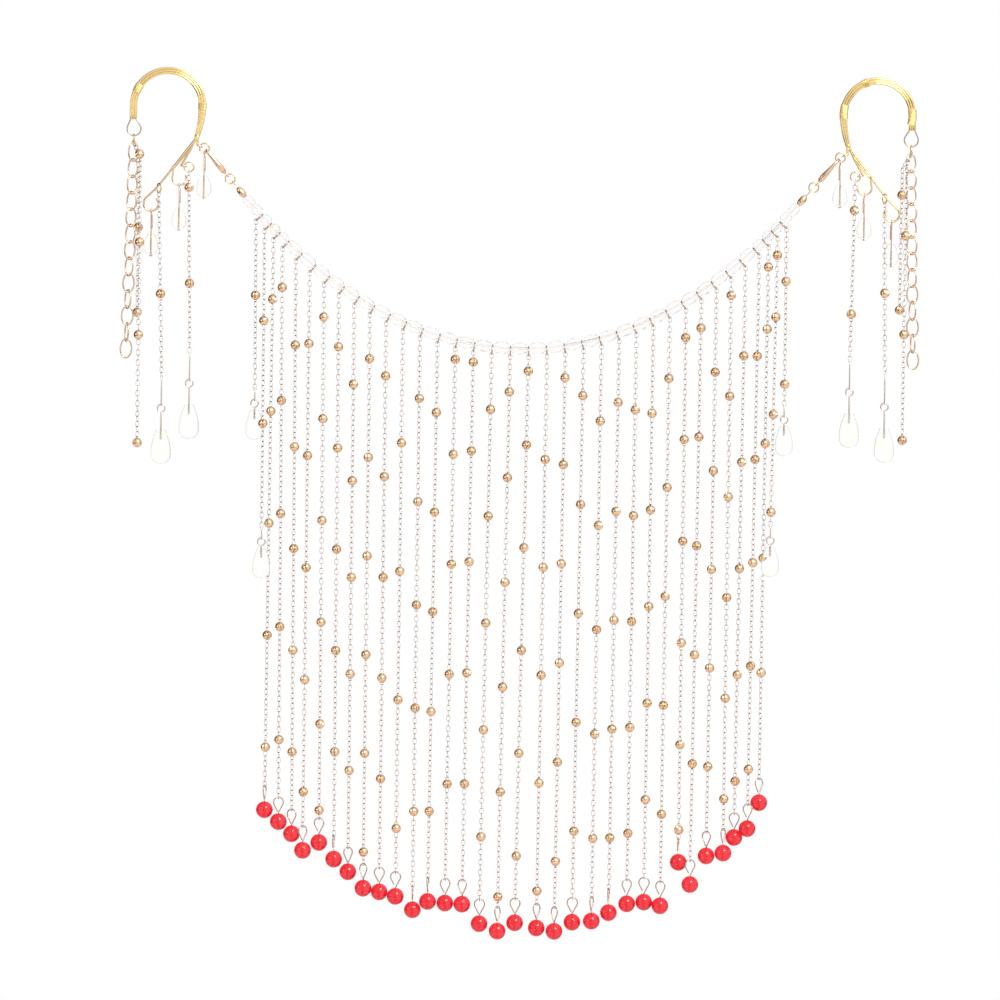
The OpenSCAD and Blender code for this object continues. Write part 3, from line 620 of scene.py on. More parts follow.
crystals = Shape()
rng = random.Random(7)
for i in range(COUNT - 1):
    step = pitch_after(i)
    wide = BEAD_D if step == LONG_PITCH else SMALL_BEAD_D
    add_crystal((RING_S[i] + RING_S[i + 1]) / 2, step - RING_WIRE - 4 * CLEAR, wide)
for way in (-1, 1):
    for j in range(TAIL_COUNT):
        s = way * (LAST_RING + RING_WIRE / 2 + 2 * CLEAR + (j + 0.5) * TAIL_PITCH)
        add_crystal(s, TAIL_PITCH - 2 * CLEAR, SMALL_BEAD_D)
crystals.make("clear_beads", CRYSTAL, "clear_crystal", nodes=["crystal_beads"], flat=True)

# %% [markdown]
# Between two beads a jump ring hangs on the thread and carries one strand. It is cut
# from coiled wire, so a fine gap shows where it closes. From the front it is seen on
# its edge, as a short stroke.

# %% Rings on the thread
HALF_GAP = 3


def jump_ring(radius, wire, gap_at, steps=30, sides=10):
    """A ring in the XZ plane whose ends nearly meet."""
    return sweep(circle(radius, steps, gap_at + HALF_GAP, gap_at + 360 - HALF_GAP), wire / 2, sides)


swag_rings = Shape()
for i in range(COUNT):
    place = moved(below_thread(i, RING_SAG)) @ turned(y=-math.degrees(slope(RING_S[i])))
    swag_rings.add(jump_ring(RING_R, RING_WIRE, rng.uniform(150, 210), 28, 8), place @ turned(z=90))
swag_rings.make("swag_rings", DULL_RINGS, "gold_wire", nodes=["swag_rings"])

# %% [markdown]
# The fine chain is cable chain: oval links, each turned a quarter round from the last.
# One link is made once and copied down the strand. Along the way the chain twists a
# little, so that its last link meets the eye of the pin below the right way round.
# Each strand is one piece, and stands for the plain tube of the solid model.

# %% Fine chain
LINK_PITCH, LINK_HALF_LEN, LINK_HALF_WIDE, LINK_WIRE, LINK_SIDES = 1.84, 1.08, 0.66, 0.28, 5
EYE_LINK_R = 0.85
BALL_HIDES = 1.0


def oval(half_wide, half_len, angles, roundness=1.0):
    """An upright oval in the XZ plane. Less roundness gives it straighter sides."""
    across = np.sign(np.cos(angles)) * np.abs(np.cos(angles)) ** roundness
    return np.stack([half_wide * across, 0 * angles, half_len * np.sin(angles)], 1)


around = np.linspace(0, 2 * np.pi, 12, endpoint=False)
LINK = sweep(oval(LINK_HALF_WIDE, LINK_HALF_LEN, around, 0.8),
             LINK_WIRE / 2 * (1 - 0.25 * np.cos(around) ** 2), LINK_SIDES, closed=True)
# How near each point of a link is to its ends, which sets the painted shade where links cross.
END_SHADE_MASK = np.repeat(np.sin(around) ** 2, LINK_SIDES)


def link_drop(wire):
    """How far below a wire the middle of the first link on it lies."""
    return EYE_LINK_R - (LINK_WIRE + wire) / 2 - CLEAR


def add_chain(shape, place, top, foot, balls, first_turn, last_turn=None):
    """Links from drop top to drop foot, apart from those that the balls hide."""
    steps = max(1, round((foot - top) / LINK_PITCH))
    twist = 0.0
    if last_turn is not None:
        twist = (last_turn - first_turn - 90 * steps + 90) % 180 - 90
    sway = rng.choice((-1, 1)) * rng.uniform(30, 60), rng.uniform(-25, 25)
    for i in range(steps + 1):
        drop = top + (foot - top) * i / steps
        turn = first_turn + 90 * i + twist * i / steps
        turn += sway[0] * math.sin(math.pi * i / steps) + sway[1] * math.sin(3 * math.pi * i / steps)
        if all(abs(drop - ball) > BALL_HIDES for ball in balls):
            shape.add(LINK, place @ moved([0, 0, -drop]) @ turned(z=turn))


def make_chain(shape, name, node):
    """Makes the links and notes on each point how near it is to an end of its link, for the painted shade
    there.
    """
    mesh = shape.make(name, PALE_CHAIN, "fine_chain", nodes=[node]).data
    # The note on each point sets how much painted shade it gets.
    notes = mesh.attributes.new("painted_end_shade", "FLOAT", "POINT")
    notes.data.foreach_set("value", np.tile(END_SHADE_MASK, len(mesh.vertices) // len(END_SHADE_MASK)))


print("a link has", len(LINK[1]), "faces")

# %% [markdown]
# The gold balls are crimp covers: small cups that are squeezed shut round the chain.
# Each has a hole at the top and foot and a seam down one side, which shows as a dark
# line wherever the ball happened to turn. A few are not quite closed.

# %% Gold balls
BALL_D, BALL_PITCH = 3.5, 37
# Across the seam, in degrees from its middle: the groove and the two steps of its lips
GROOVE, LIPS = 5, (6.5, 9)
GROOVE_SHARE = 0.5
# Down into the hole, in degrees from its middle: share of the ball's radius left there
HOLE = [(10, 0.62), (15, 0.86)]


def crimp_ball(opened):
    """A hollow-looking ball with a seam towards -Y."""
    seam = (-LIPS[1], -LIPS[0], -GROOVE, GROOVE, *LIPS)
    turns = [(-90 + a * opened, abs(a) == GROOVE) for a in seam]
    lip, step = LIPS[1] * opened, 12
    turns += [(a, False) for a in np.linspace(-90 + lip + step, 270 - lip - step, 16)]
    foot = [(180 - a, share) for a, share in HOLE[::-1]]
    rows = HOLE + [(a, 1.0) for a in np.linspace(17, 163, 10)] + foot
    points = []
    for polar, share in rows:
        for turn, inside in turns:
            reach = BALL_D / 2 * share * (GROOVE_SHARE if inside else 1.0)
            a, b = math.radians(polar), math.radians(turn)
            level = reach * math.sin(a)
            points.append([level * math.cos(b), level * math.sin(b), reach * math.cos(a)])
    return np.array(points), [face[::-1] for face in tube_faces(len(rows), len(turns))]


CLOSED_BALL, LOOSE_BALL, OPEN_BALL = crimp_ball(1.2), crimp_ball(2.0), crimp_ball(2.8)
balls_on = Shape()


def add_ball(place, drop, opened=False):
    """Most seams look more or less forward."""
    turn = rng.uniform(-20, 40) if opened else rng.gauss(0, 45)
    ball = OPEN_BALL if opened else rng.choice((CLOSED_BALL, LOOSE_BALL))
    tilt = turned(x=rng.uniform(-12, 12), y=rng.uniform(-25, 25), z=turn)
    balls_on.add(ball, place @ moved([0, 0, -drop]) @ tilt)


print("a crimp cover has", len(CLOSED_BALL[1]), "faces")

# %% [markdown]
# An eye pin runs up through each red bead and is bent over into an open teardrop, in
# which the last link of the chain hangs. The bead is turned on the lathe, a little
# fuller than in the solid model, as in the photograph, and the pin is a swept wire.

# %% Red beads and eye pins
RED_D, RED_BORE, RED_FULLNESS = 5.9, 0.8, 1.045
PIN_WIRE, EYE_HEIGHT, EYE_R = 0.45, 5.9, 1.85


def red_bead():
    """A ball with a rounded drill hole along Z."""
    r, bore = RED_FULLNESS * RED_D / 2, RED_BORE / 2
    edge = math.degrees(math.asin((bore + 0.12) / r))
    outside = [(r * math.sin(a), -r * math.cos(a))
               for a in np.radians(np.linspace(edge, 180 - edge, 20))]
    top = outside[-1][1]
    rim = [(bore + 0.03, top - 0.06), (bore, top - 0.25)]
    return lathe([(x, -z) for x, z in rim[::-1]] + outside + rim, 28, closed=True)


def eye_pin(opened):
    """Shank along Z through the bead, with a teardrop eye in the XZ plane."""
    foot = RED_D / 2
    middle = foot + EYE_HEIGHT - EYE_R
    lean = math.degrees(math.asin(EYE_R / (middle - foot)))
    loop = circle(EYE_R, 20, -lean, 180 + lean) + [0, 0, middle]
    loop[:, 1] += np.linspace(0, 0.42, len(loop)) * opened
    shank = [[0, 0, -foot + 0.1], [0, 0, foot - 0.3], [0, 0, foot + 0.1], [0.14, 0, foot + 0.42]]
    tail = [-0.30 - 0.5 * opened, 0.40 * opened, foot + 0.75 + 0.9 * opened]
    return sweep([*shank, *loop, tail], PIN_WIRE / 2, 7)


RED = red_bead()
print("a red bead has", len(RED[1]), "faces")

# %% [markdown]
# Every strand hangs from its ring. The two outer ones on each side end in a clear drop,
# and all the others in an eye pin with its red bead. The eyes face all ways, and some
# are opened more than others.

# %% Strands of the swag
STRAND_LEN = 206.7
OUTER_Y, STAGGER = (1.9, -3.9), 0.9
OPEN_TOPS = {14, 15, 18}
PIN_OPENINGS = [0.0, 0.15, 0.3, 0.6]
reds, pins = Shape(), Shape()


def from_end(i):
    return min(i, COUNT - 1 - i)


def is_outer(i):
    return from_end(i) < len(OUTER_Y)


def strand_ends(i):
    length, lean = STRANDS[i][:2]
    depth = OUTER_Y[from_end(i)] if is_outer(i) else STAGGER * (1 if from_end(i) % 2 == 0 else -1)
    middle = below_thread(i, RING_SAG)
    return below_thread(i, RING_SAG + RING_R), middle + [lean, depth, -length * STRAND_LEN]


def balls_of(i, length):
    """How far down a strand its balls sit."""
    near, first, step, last = (STRANDS[i][k] for k in (2, 3, 4, 6))
    limit = length - BALL_D / 2 - 1
    row = [near * BALL_PITCH] if near else []
    drop = first * BALL_PITCH - RING_R
    while drop <= limit:
        row.append(drop)
        drop += step * BALL_PITCH
    return row + ([limit] if last else [])


for i in range(COUNT):
    top, foot = strand_ends(i)
    turn = STRANDS[i][5]
    run = np.linalg.norm(foot - top)
    length = run if is_outer(i) else run - RED_D / 2 - EYE_HEIGHT
    place = hang(top, foot)
    drops = balls_of(i, length)
    for k, drop in enumerate(drops):
        add_ball(place, drop, opened=k == 0 and i in OPEN_TOPS)
    links = Shape()
    end = length - (LINK_HALF_LEN if is_outer(i) else link_drop(PIN_WIRE))
    add_chain(links, place, link_drop(RING_WIRE), end, drops, 0, None if is_outer(i) else turn + 90)
    make_chain(links, f"chain_{i + 1:02d}", f"strand_{i + 1:02d}")
    if not is_outer(i):
        at_bead = place @ moved([0, 0, -run])
        reds.add(RED, at_bead @ turned(x=rng.uniform(-3, 3), z=rng.uniform(0, 90)))
        pins.add(eye_pin(rng.choice(PIN_OPENINGS)), at_bead @ turned(z=turn))
reds.make("red_beads", RED_BEAD, "red_bead", nodes=["red_beads"])
pins.make("eye_pins", PIN_GOLD, "fine_chain", nodes=["eye_pins"])

# %% [markdown]
# Each clear drop is a glass pear that was bored from above. A peg is glued in the bore
# and ends in a ring, and a long narrow wire loop joins the ring to the chain.

# %% Loops, pegs and clear drops
LOOP_WIRE, LOOP_HALF_WIDE, LOOP_LAP = 0.45, 0.65, 0.8
PEG_WIRE, PEG_RING_R, PEG_DEPTH = 0.6, 1.35, 3.6
OUTER_LOOP, OUTER_NECK, OUTER_DROP, OUTER_DROP_D = 5, 0.8, 11, 6.3
# Shares of a drop's width: radius of its flat top and height of its round foot
TOP_SHARE, FOOT_SHARE = 0.22, 0.45
loops, glass = Shape(), Shape()


def pear_side(height, wide, neck_steps, foot_angles):
    """The outline of a drop from its top edge down its slim neck to its round foot."""
    top_r, low = wide * TOP_SHARE, height - wide * FOOT_SHARE
    neck = [(top_r + (wide / 2 - top_r) * math.sin(math.pi / 2 * t), -0.15 - low * t * 5 / 6)
            for t in np.linspace(0, 1, neck_steps)]
    foot = [(wide / 2 * math.cos(a), -low - wide * FOOT_SHARE * math.sin(a))
            for a in np.radians(foot_angles)]
    return neck + foot


def pear(height, wide):
    """A solid drop that hangs from the origin, with a blind bore for its peg."""
    bore = (PEG_WIRE + 0.3) / 2
    side = pear_side(height, wide, 12, np.linspace(0, 84, 12))
    top = [(0.02, -PEG_DEPTH), (bore, -PEG_DEPTH), (bore, -0.12), (bore + 0.1, 0),
           (side[0][0] - 0.15, -0.02)]
    return lathe([*top, *side, (0.03, -height)][::-1], 32)


def narrow_loop(length):
    """A long loop of wire in the YZ plane, closed at its slim top."""
    wide = LOOP_HALF_WIDE
    bend = [[0, wide * math.cos(a), -length + wide + LOOP_WIRE / 2 + wide * math.sin(a)]
            for a in np.radians(np.linspace(0, -180, 9))]
    down = [[0, 0.12, -0.1], [0, wide * 0.8, -0.25 * length]]
    return sweep([*down, *bend, *([x, -y, z] for x, y, z in down[::-1])], LOOP_WIRE / 2, 8)


def ring_below(length):
    """How far below the top of a loop the middle of its ring lies."""
    return length - LOOP_WIRE - PEG_WIRE / 2 + 0.04 + PEG_RING_R


def add_drop(end, loop_length, neck, height, wide):
    place = moved(end + np.array([0, 0, LOOP_LAP]))
    loops.add(narrow_loop(loop_length), place)
    ring = place @ moved([0, 0, -ring_below(loop_length)])
    loops.add(jump_ring(PEG_RING_R, PEG_WIRE * 0.85, -90, 26, 8), ring)
    reach = neck + PEG_DEPTH - CLEAR
    peg = [[0, 0, -PEG_RING_R - z] for z in (-0.1, reach / 2, reach)]
    loops.add(sweep(peg, PEG_WIRE / 2), ring)
    glass.add(pear(height, wide), ring @ moved([0, 0, -PEG_RING_R - neck]))


for i in range(COUNT):
    if is_outer(i):
        add_drop(strand_ends(i)[1], OUTER_LOOP, OUTER_NECK, OUTER_DROP, OUTER_DROP_D)
print(len(glass.points), "drops on the swag")

# %% [markdown]
# The rest sits on the two ear hooks, which mirror each other. Everything is built on
# the left hook, from the middle of its crown with +X towards the middle of the veil,
# and the right side is the same with X turned over.

# %% Hook frame
LEFT_HOOK = np.array([0, 0, -11.075])
CROWN_R = 12.4
HOOK_WIRE, BRANCH_WIRE, REAR_WIRE = 0.95, 0.65, 0.5
# In the photograph the branches look a little thicker than in the solid model
BRANCH_R = BRANCH_WIRE / 2 + 0.07
BUNDLE_W = 3 * HOOK_WIRE - 0.2
JOIN_R, JOIN_WIRE, EYE_LAP = 1.75, 0.5, 0.15
FRONT_LEG_R, FRONT_LEG_TURN, REAR_LEG = 35, 19, 5
REAR_RING_R = 1.9
MIRROR = np.diag([-1.0, 1, 1, 1])
SIDES = {"left": moved(LEFT_HOOK),
         "right": moved([2 * SWAG[0], 0, 0]) @ MIRROR @ moved(LEFT_HOOK)}


def xz(p):
    return np.array([p[0], 0, p[1]], float)


def on_arc(middle, radius, angle):
    a = math.radians(angle)
    return xz(middle) + radius * np.array([math.cos(a), 0, math.sin(a)])


def along(p, length, way, turn=0.0):
    a, b = math.radians(way), math.radians(turn)
    return xz(p) + length * np.array([math.cos(a) * math.cos(b), math.cos(a) * math.sin(b), math.sin(a)])


def add_side(shape, side, piece, place=np.eye(4)):
    """Adds a piece that is given in the hook's frame."""
    shape.add(piece, SIDES[side] @ place)


FORK = on_arc((CROWN_R - FRONT_LEG_R, 0), FRONT_LEG_R, -FRONT_LEG_TURN)
SHORT_EYE, RING_B_EYE, RING_A_HOLD = (11.6, -14.6), (6, -21.9), (-3.2, -29.6)
BIG_CURL, BIG_CURL_R, BIG_CURL_ENDS = (4.5, -26.2), 2.6, (160, 315)
LOW_CURL, LOW_CURL_R, LOW_CURL_ENDS = (-5.5, -35.5), 2.75, (140, 300)
LOOP_BOTTOM, LOOP_R, LOOP_OPEN = (-12.1, -11.2), 2.5, 25
EYE_R_SMALL = 0.9
RING_A_TURN = -62
HOLD_RING = along(SHORT_EYE, JOIN_R + EYE_LAP, -25)
RING_B = along(RING_B_EYE, JOIN_R + EYE_LAP, -10)
RING_A = along(RING_A_HOLD, JOIN_R - (JOIN_WIRE + BRANCH_WIRE) / 2 - 2 * CLEAR, -25, RING_A_TURN)
REAR_RING = xz(LOOP_BOTTOM) + [0, 0, (REAR_WIRE + JOIN_WIRE) / 2 + CLEAR - REAR_RING_R]
print("fork at", FORK.round(1))

# %% [markdown]
# A hook is bent from a flat bundle of three wires. At the fork they part: one runs on
# as the long branch with its low curl, one ends in the eye that carries the clasp, and
# one in the eye of a ring. A finer wire is bound to the long branch and ends in a
# second curl. Their lines are arcs and a few points, which are then rounded.

# %% Lines of the hook wires
FORK_NARROWING, BOUND_AT = 0.42, 0.6
# Where each curl comes round to, in degrees, and how far back it has moved by then
LOW_CURL_ROUND, BIG_CURL_ROUND, CURL_TIGHTER = (400, 0.5), (380, 1.2), 0.1


def leg_share(angle):
    """How far apart the wires still lie on the front leg, which narrows to the fork."""
    return 1 - FORK_NARROWING * (angle / FRONT_LEG_TURN) ** 1.5


def bundle_line(offset):
    """The middle of one wire of the bundle, from the rear leg to the fork."""
    radius = CROWN_R + offset
    rear = [[-radius, 0, -REAR_LEG], [-radius, 0, -REAR_LEG / 2]]
    crown = [on_arc((0, 0), radius, a) for a in np.linspace(180, 0, 49)]
    leg = [on_arc((CROWN_R - FRONT_LEG_R, 0), FRONT_LEG_R + offset * leg_share(a), -a)
           for a in np.linspace(0, FRONT_LEG_TURN, 13)[1:]]
    return rear + crown + leg


def smooth(points, rounds=2):
    """Cuts the corners of a line of points, so that a wire bends softly."""
    points = np.array(points, float)
    for _ in range(rounds):
        near = points[:-1] * 0.75 + points[1:] * 0.25
        far = points[:-1] * 0.25 + points[1:] * 0.75
        cut = np.stack([near, far], 1).reshape(-1, points.shape[1])
        points = np.vstack([points[:1], cut, points[-1:]])
    return points


def curl(middle, radius, ends, comes_round, back):
    """The solid's open arc, which goes on round, a little tighter and further back."""
    arc = [on_arc(middle, radius, a) for a in np.linspace(*ends, 20)]
    for t in np.linspace(0, 1, 10)[1:]:
        angle = ends[1] + (comes_round - ends[1]) * t
        arc.append(on_arc(middle, radius * (1 - CURL_TIGHTER * t), angle) + [0, back * t, 0])
    return arc


OFFSET = (BUNDLE_W - HOOK_WIRE) / 2
low_curl = curl(LOW_CURL, LOW_CURL_R, LOW_CURL_ENDS, *LOW_CURL_ROUND)
big_curl = curl(BIG_CURL, BIG_CURL_R, BIG_CURL_ENDS, *BIG_CURL_ROUND)
branch_run = xz(RING_A_HOLD) - FORK
long_branch = smooth([FORK, (FORK + xz(RING_A_HOLD)) / 2, xz(RING_A_HOLD), low_curl[0]])
curl_root = FORK + BOUND_AT * branch_run
run_down = branch_run / np.linalg.norm(branch_run)
branch_turn = -math.degrees(math.atan2(run_down[2], run_down[0])) + 90
to_side = np.array([-run_down[2], 0, run_down[0]])
# The wire of the second curl runs down beside the long branch, to which it is bound.
# Each row is a point on the branch and the steps from it, down the branch and aside.
beside = [start + down * run_down + aside * to_side for start, down, aside in (
    (FORK, 0.5, 0.45), ((FORK + curl_root) / 2, 0, 0.72), (curl_root, -0.6, 0.5), (curl_root, 0.4, 0.25))]
second_curl = smooth([*beside, (curl_root + big_curl[0]) / 2, *big_curl], 1)


def eye_branch(bundle, eye, way, bow):
    """The branch that ends in a small eye, seen on its edge."""
    foot = along(eye, -EYE_R_SMALL, way)
    start = bundle[-1]
    middle = (start + foot) / 2 + [bow, 0, 0]
    return smooth([start + 0.15 * (foot - start), middle, foot])


def rear_loop():
    """The teardrop loop, whose two ends run up into the rear leg of the bundle."""
    middle = (LOOP_BOTTOM[0], LOOP_BOTTOM[1] + LOOP_R)
    bend = [on_arc(middle, LOOP_R, a) for a in np.linspace(180 - LOOP_OPEN, 360 + LOOP_OPEN, 26)]
    top = np.array([-CROWN_R, 0, 0.6 - REAR_LEG])
    return smooth([top + [-0.5, 0, 0], (top + [-0.6, 0, 0] + bend[0]) / 2, *bend,
                   (top + [0.6, 0, 0] + bend[-1]) / 2, top + [0.5, 0, 0]], 1)


print("second curl of", len(second_curl), "points")

# %% [markdown]
# Each wire is swept as a wire of its own, so that light runs along three rounds, as on
# the real hook. The wires of the bundle get thinner before the fork, where they run on
# as branches.

# %% Hook wires
TAPER_STEPS = 11
BIND_WIRE, BIND_STEP = 0.28, 0.27


def closed_ring(radius, wire, steps=20, sides=8):
    """A ring in the XZ plane without a gap."""
    return sweep(circle(radius, steps), wire / 2, sides, closed=True)


def tapered(bundle, branch):
    """Points and radii of a bundle wire that runs on as a thinner branch."""
    points = np.vstack([bundle, branch])
    radii = np.concatenate([np.full(len(bundle) - TAPER_STEPS, HOOK_WIRE / 2),
                            np.linspace(HOOK_WIRE / 2, BRANCH_R, TAPER_STEPS),
                            np.full(len(branch), BRANCH_R)])
    return points, radii


for side in SIDES:
    wires, rear = Shape(), Shape()
    inner, centre, outer = (bundle_line(k * OFFSET) for k in (-1, 0, 1))
    for path, branch in (
        (inner, np.vstack([long_branch[1:], low_curl[1:]])),
        (centre, eye_branch(centre, RING_B_EYE, -10, 0.2)),
        (outer, eye_branch(outer, SHORT_EYE, -25, 0.0)),
    ):
        points, radii = tapered(np.array(path), branch)
        add_side(wires, side, sweep(points, radii, 10))
    for eye, way in ((SHORT_EYE, -25), (RING_B_EYE, -10)):
        add_side(wires, side, closed_ring(EYE_R_SMALL, BRANCH_WIRE),
                 moved(xz(eye)) @ turned(y=-way) @ turned(x=90))
    add_side(wires, side, sweep(second_curl, BRANCH_WIRE / 2))
    for k in (-1, 0, 1):
        add_side(wires, side, closed_ring(BRANCH_WIRE / 2 + 0.12, BIND_WIRE, 14, 6),
                 moved(curl_root + k * BIND_STEP * run_down) @ turned(y=branch_turn) @ turned(x=90))
    wires.make(f"hook_wires_{side}", HOOK_GOLD, "gold_wire", nodes=[f"ear_hook_{side}"])
    add_side(rear, side, sweep(rear_loop(), REAR_WIRE / 2))
    rear.make(f"rear_loop_{side}", LOOP_GOLD, "gold_wire")

# %% [markdown]
# Fine wire is wound round the bundle in a few places and holds it together. Each turn
# is a loop round the flat bundle, and the turns lie side by side.

# %% Wire wraps
WRAP_WIRE, WRAP_TILT = 0.32, 4
# Wraps on the crown: where round it in degrees, and how long
WRAPS = {"left": [(151, 3.2), (-1, 2.6)], "right": [(68, 2.2), (5, 5), (182, 5.6)]}
LEG_LEN = FRONT_LEG_R * math.radians(FRONT_LEG_TURN)
KNOT = [(LEG_LEN - 0.15 - k * WRAP_WIRE, 0.92) for k in range(3)]
# Turns on the front leg: how far below the crown's level each lies, and its size
LEG_TURNS = {"left": [(0.9 + 0.75 * k, 0.97) for k in range(9)] + KNOT, "right": KNOT}


def wrap_turn():
    """One turn round the bundle: its plane holds the radius and Y."""
    half_t = HOOK_WIRE / 2 + WRAP_WIRE * 0.2
    right = [[OFFSET + half_t * math.cos(a), half_t * math.sin(a), 0]
             for a in np.radians(np.linspace(-90, 90, 9))]
    left = [[-x, -y, 0] for x, y, _ in right]
    return sweep(right + left, WRAP_WIRE / 2, 6, closed=True)


TURN = wrap_turn()
for side, rows in WRAPS.items():
    wraps = Shape()
    for angle, length in rows:
        turns = round(length / WRAP_WIRE)
        for k in range(turns):
            a = angle + math.degrees((k + 0.5 - turns / 2) * WRAP_WIRE / CROWN_R)
            place = turned(y=-a) @ moved([CROWN_R, 0, 0])
            add_side(wraps, side, TURN, place @ turned(x=rng.uniform(-WRAP_TILT, WRAP_TILT)))
    for drop, share in LEG_TURNS[side]:
        a = math.degrees(drop / FRONT_LEG_R)
        place = moved([CROWN_R - FRONT_LEG_R, 0, 0]) @ turned(y=a) @ moved([FRONT_LEG_R, 0, 0])
        narrow = np.diag([leg_share(a) * share, share, 1, 1])
        add_side(wraps, side, TURN, place @ turned(x=rng.uniform(-WRAP_TILT, WRAP_TILT)) @ narrow)
    wraps.make(f"wraps_{side}", WRAP_GOLD, "gold_wire")

# %% [markdown]
# Jump rings join the pieces: one in the nose of each clasp, one behind its tail, one
# for each front strand and one at the rear that holds the chains.

# %% Joining rings
END = math.degrees(slope(THREAD_END))
OUTWARD = np.array([-math.cos(math.radians(END)), 0, math.sin(math.radians(END))])
TIP_LEN, TIP_LAP = 6.5, 0.2
swag_end = thread_at(-THREAD_END)
jump_middle = swag_end + (TIP_LEN + TIP_LAP + JOIN_R) * OUTWARD - LEFT_HOOK
rings = Shape()
for side in SIDES:
    for middle, radius, place, gap in (
        (HOLD_RING, JOIN_R, turned(), 160),
        (jump_middle, JOIN_R, turned(), 40),
        (RING_B, JOIN_R, turned(), 75),
        (RING_A, JOIN_R, turned(z=RING_A_TURN), 100),
        (REAR_RING, REAR_RING_R, turned(z=90), 200),
    ):
        add_side(rings, side, jump_ring(radius, JOIN_WIRE, gap), moved(middle) @ place)
rings.make("joining_rings", RING_GOLD, "gold_wire", nodes=["joining_rings"])

# %% [markdown]
# At the rear an extension chain of larger oval links hangs from the ring, and a ball
# chain on either side of it. The links are turned a little to left and right by
# turns, and the lower half of the chain twists, so that every second link looks slim.

# %% Extension chains and rear ball chains
OVAL_PITCH, OVAL_LEN, OVAL_WIDE, OVAL_WIRE, OVALS, OVAL_TURN = 5.9, 3.4, 2.05, 0.58, 13, 35
OVAL_DRIFT, DRIFT_FROM = 6, 5
EXTENDER_LEAN, BACK_SPREAD, BACK_Y, BACK_KNEE = -1.8, 51, 3.75, 5
BACK_LEN, KNEE_SHARE, LAST_BALL_COVERS = 108, 0.9, 1.2
# One row for each rear chain: to the front or back, sideways shift of its end, share of
# the full length, and its balls in shares of the pitch
BACK = {"left": [(-1, 2.9, 1, (0.14, 1.0, 1.9)), (1, 1.9, 0.565, (0.84,))],
        "right": [(-1, 1.9, 0.955, (0.82, 1.78)), (1, 3.2, 0.52, (0.43,))]}
around = np.linspace(0, 2 * np.pi, 30, endpoint=False)
OVAL = sweep(oval(OVAL_WIDE, OVAL_LEN, around), OVAL_WIRE / 2, closed=True)


def add_ovals(shape, side):
    """The extension chain: its links face left and right by turns."""
    way = -1 if side == "left" else 1
    top = REAR_RING - [0, 0, REAR_RING_R]
    down = hang(top, top + [EXTENDER_LEAN, 0, -OVAL_PITCH * OVALS])
    first = OVAL_LEN - (OVAL_WIRE + JOIN_WIRE) / 2 - 2 * CLEAR
    for i in range(OVALS):
        turn = OVAL_TURN * (-way if i % 2 == 0 else way) + way * OVAL_DRIFT * max(0, i - DRIFT_FROM)
        add_side(shape, side, OVAL, down @ moved([0, 0, -first - i * OVAL_PITCH]) @ turned(z=turn))


def add_rear_chain(shape, side, depth, shift, share, balls):
    """Two straight stretches, from the ring out to the knee and from there to the last ball."""
    spread = math.radians(BACK_SPREAD)
    start = REAR_RING + [0, depth * REAR_RING_R * math.sin(spread), -REAR_RING_R * math.cos(spread)]
    knee = np.array([REAR_RING[0] + shift * KNEE_SHARE, depth * BACK_Y, start[2] - BACK_KNEE])
    end = np.array([REAR_RING[0] + shift, depth * BACK_Y, start[2] - share * BACK_LEN])
    upper, lower = np.linalg.norm(knee - start), np.linalg.norm(end - knee)
    drops = [step * BALL_PITCH for step in balls] + [upper + lower]
    for leg, first, last, skip, turn in (
        (hang(start, knee), link_drop(JOIN_WIRE), upper, 0, 0),
        (hang(knee, end), LINK_PITCH / 2, lower - LAST_BALL_COVERS, upper, 45),
    ):
        place = SIDES[side] @ leg
        add_chain(shape, place, first, last, [drop - skip for drop in drops], turn)
        for drop in drops:
            if (skip == 0) == (drop < upper):
                add_ball(place, drop - skip)


for side in SIDES:
    ovals, links = Shape(), Shape()
    add_ovals(ovals, side)
    ovals.make(f"extension_chain_{side}", ROSE_LINKS, "rose_links", nodes=[f"extender_{side}"])
    for row in BACK[side]:
        add_rear_chain(links, side, *row)
    make_chain(links, f"rear_chains_{side}", f"back_strands_{side}")

# %% [markdown]
# Two strands fall in front of each ear, from the ring of the middle branch and from
# the ring of the long branch. Their drops are larger than those of the swag.

# %% Front strands
FRONT_LEN, FRONT_LOOP, FRONT_NECK, FRONT_Y = 66.6, 11, 6.3, -1.1
FRONT_DROP, FRONT_DROP_D = 12.4, 7.2
# One row for each strand: place of its end, share of the full length and its balls
FRONT = {"left": [(-0.8, 1, (0.98,)), (9.2, 0.98, (0.15, 1.085))],
         "right": [(-3.8, 0.935, (0.87,)), (8.9, 0.975, (0.28, 1.29))]}
for side, rows in FRONT.items():
    links = Shape()
    for (end_x, share, row), ring, turn in zip(rows, (RING_A, RING_B), (RING_A_TURN + 90, 90)):
        start = ring - [0, 0, JOIN_R]
        end = np.array([end_x, FRONT_Y, start[2] - share * FRONT_LEN])
        drops = [step * BALL_PITCH for step in row]
        run = np.linalg.norm(end - start)
        place = SIDES[side] @ hang(start, end)
        add_chain(links, place, link_drop(JOIN_WIRE), run - LINK_HALF_LEN, drops, turn)
        for drop in drops:
            add_ball(place, drop)
        add_drop((SIDES[side] @ [*end, 1])[:3], FRONT_LOOP, FRONT_NECK, FRONT_DROP, FRONT_DROP_D)
    make_chain(links, f"front_chains_{side}", f"front_strands_{side}")
loops.make("loops_and_pegs", PALE_LOOPS, "fine_chain")
glass.make("clear_drops", CLEAR_DROP, "clear_crystal", nodes=["clear_drops"])
balls_on.make("gold_balls", BALL_GOLD, "fine_chain")

# %% [markdown]
# Three short drops hang from each hook on head pins. A head pin is bent into an eye at
# the top, and the end of its wire is laid down the shank as a long tail.

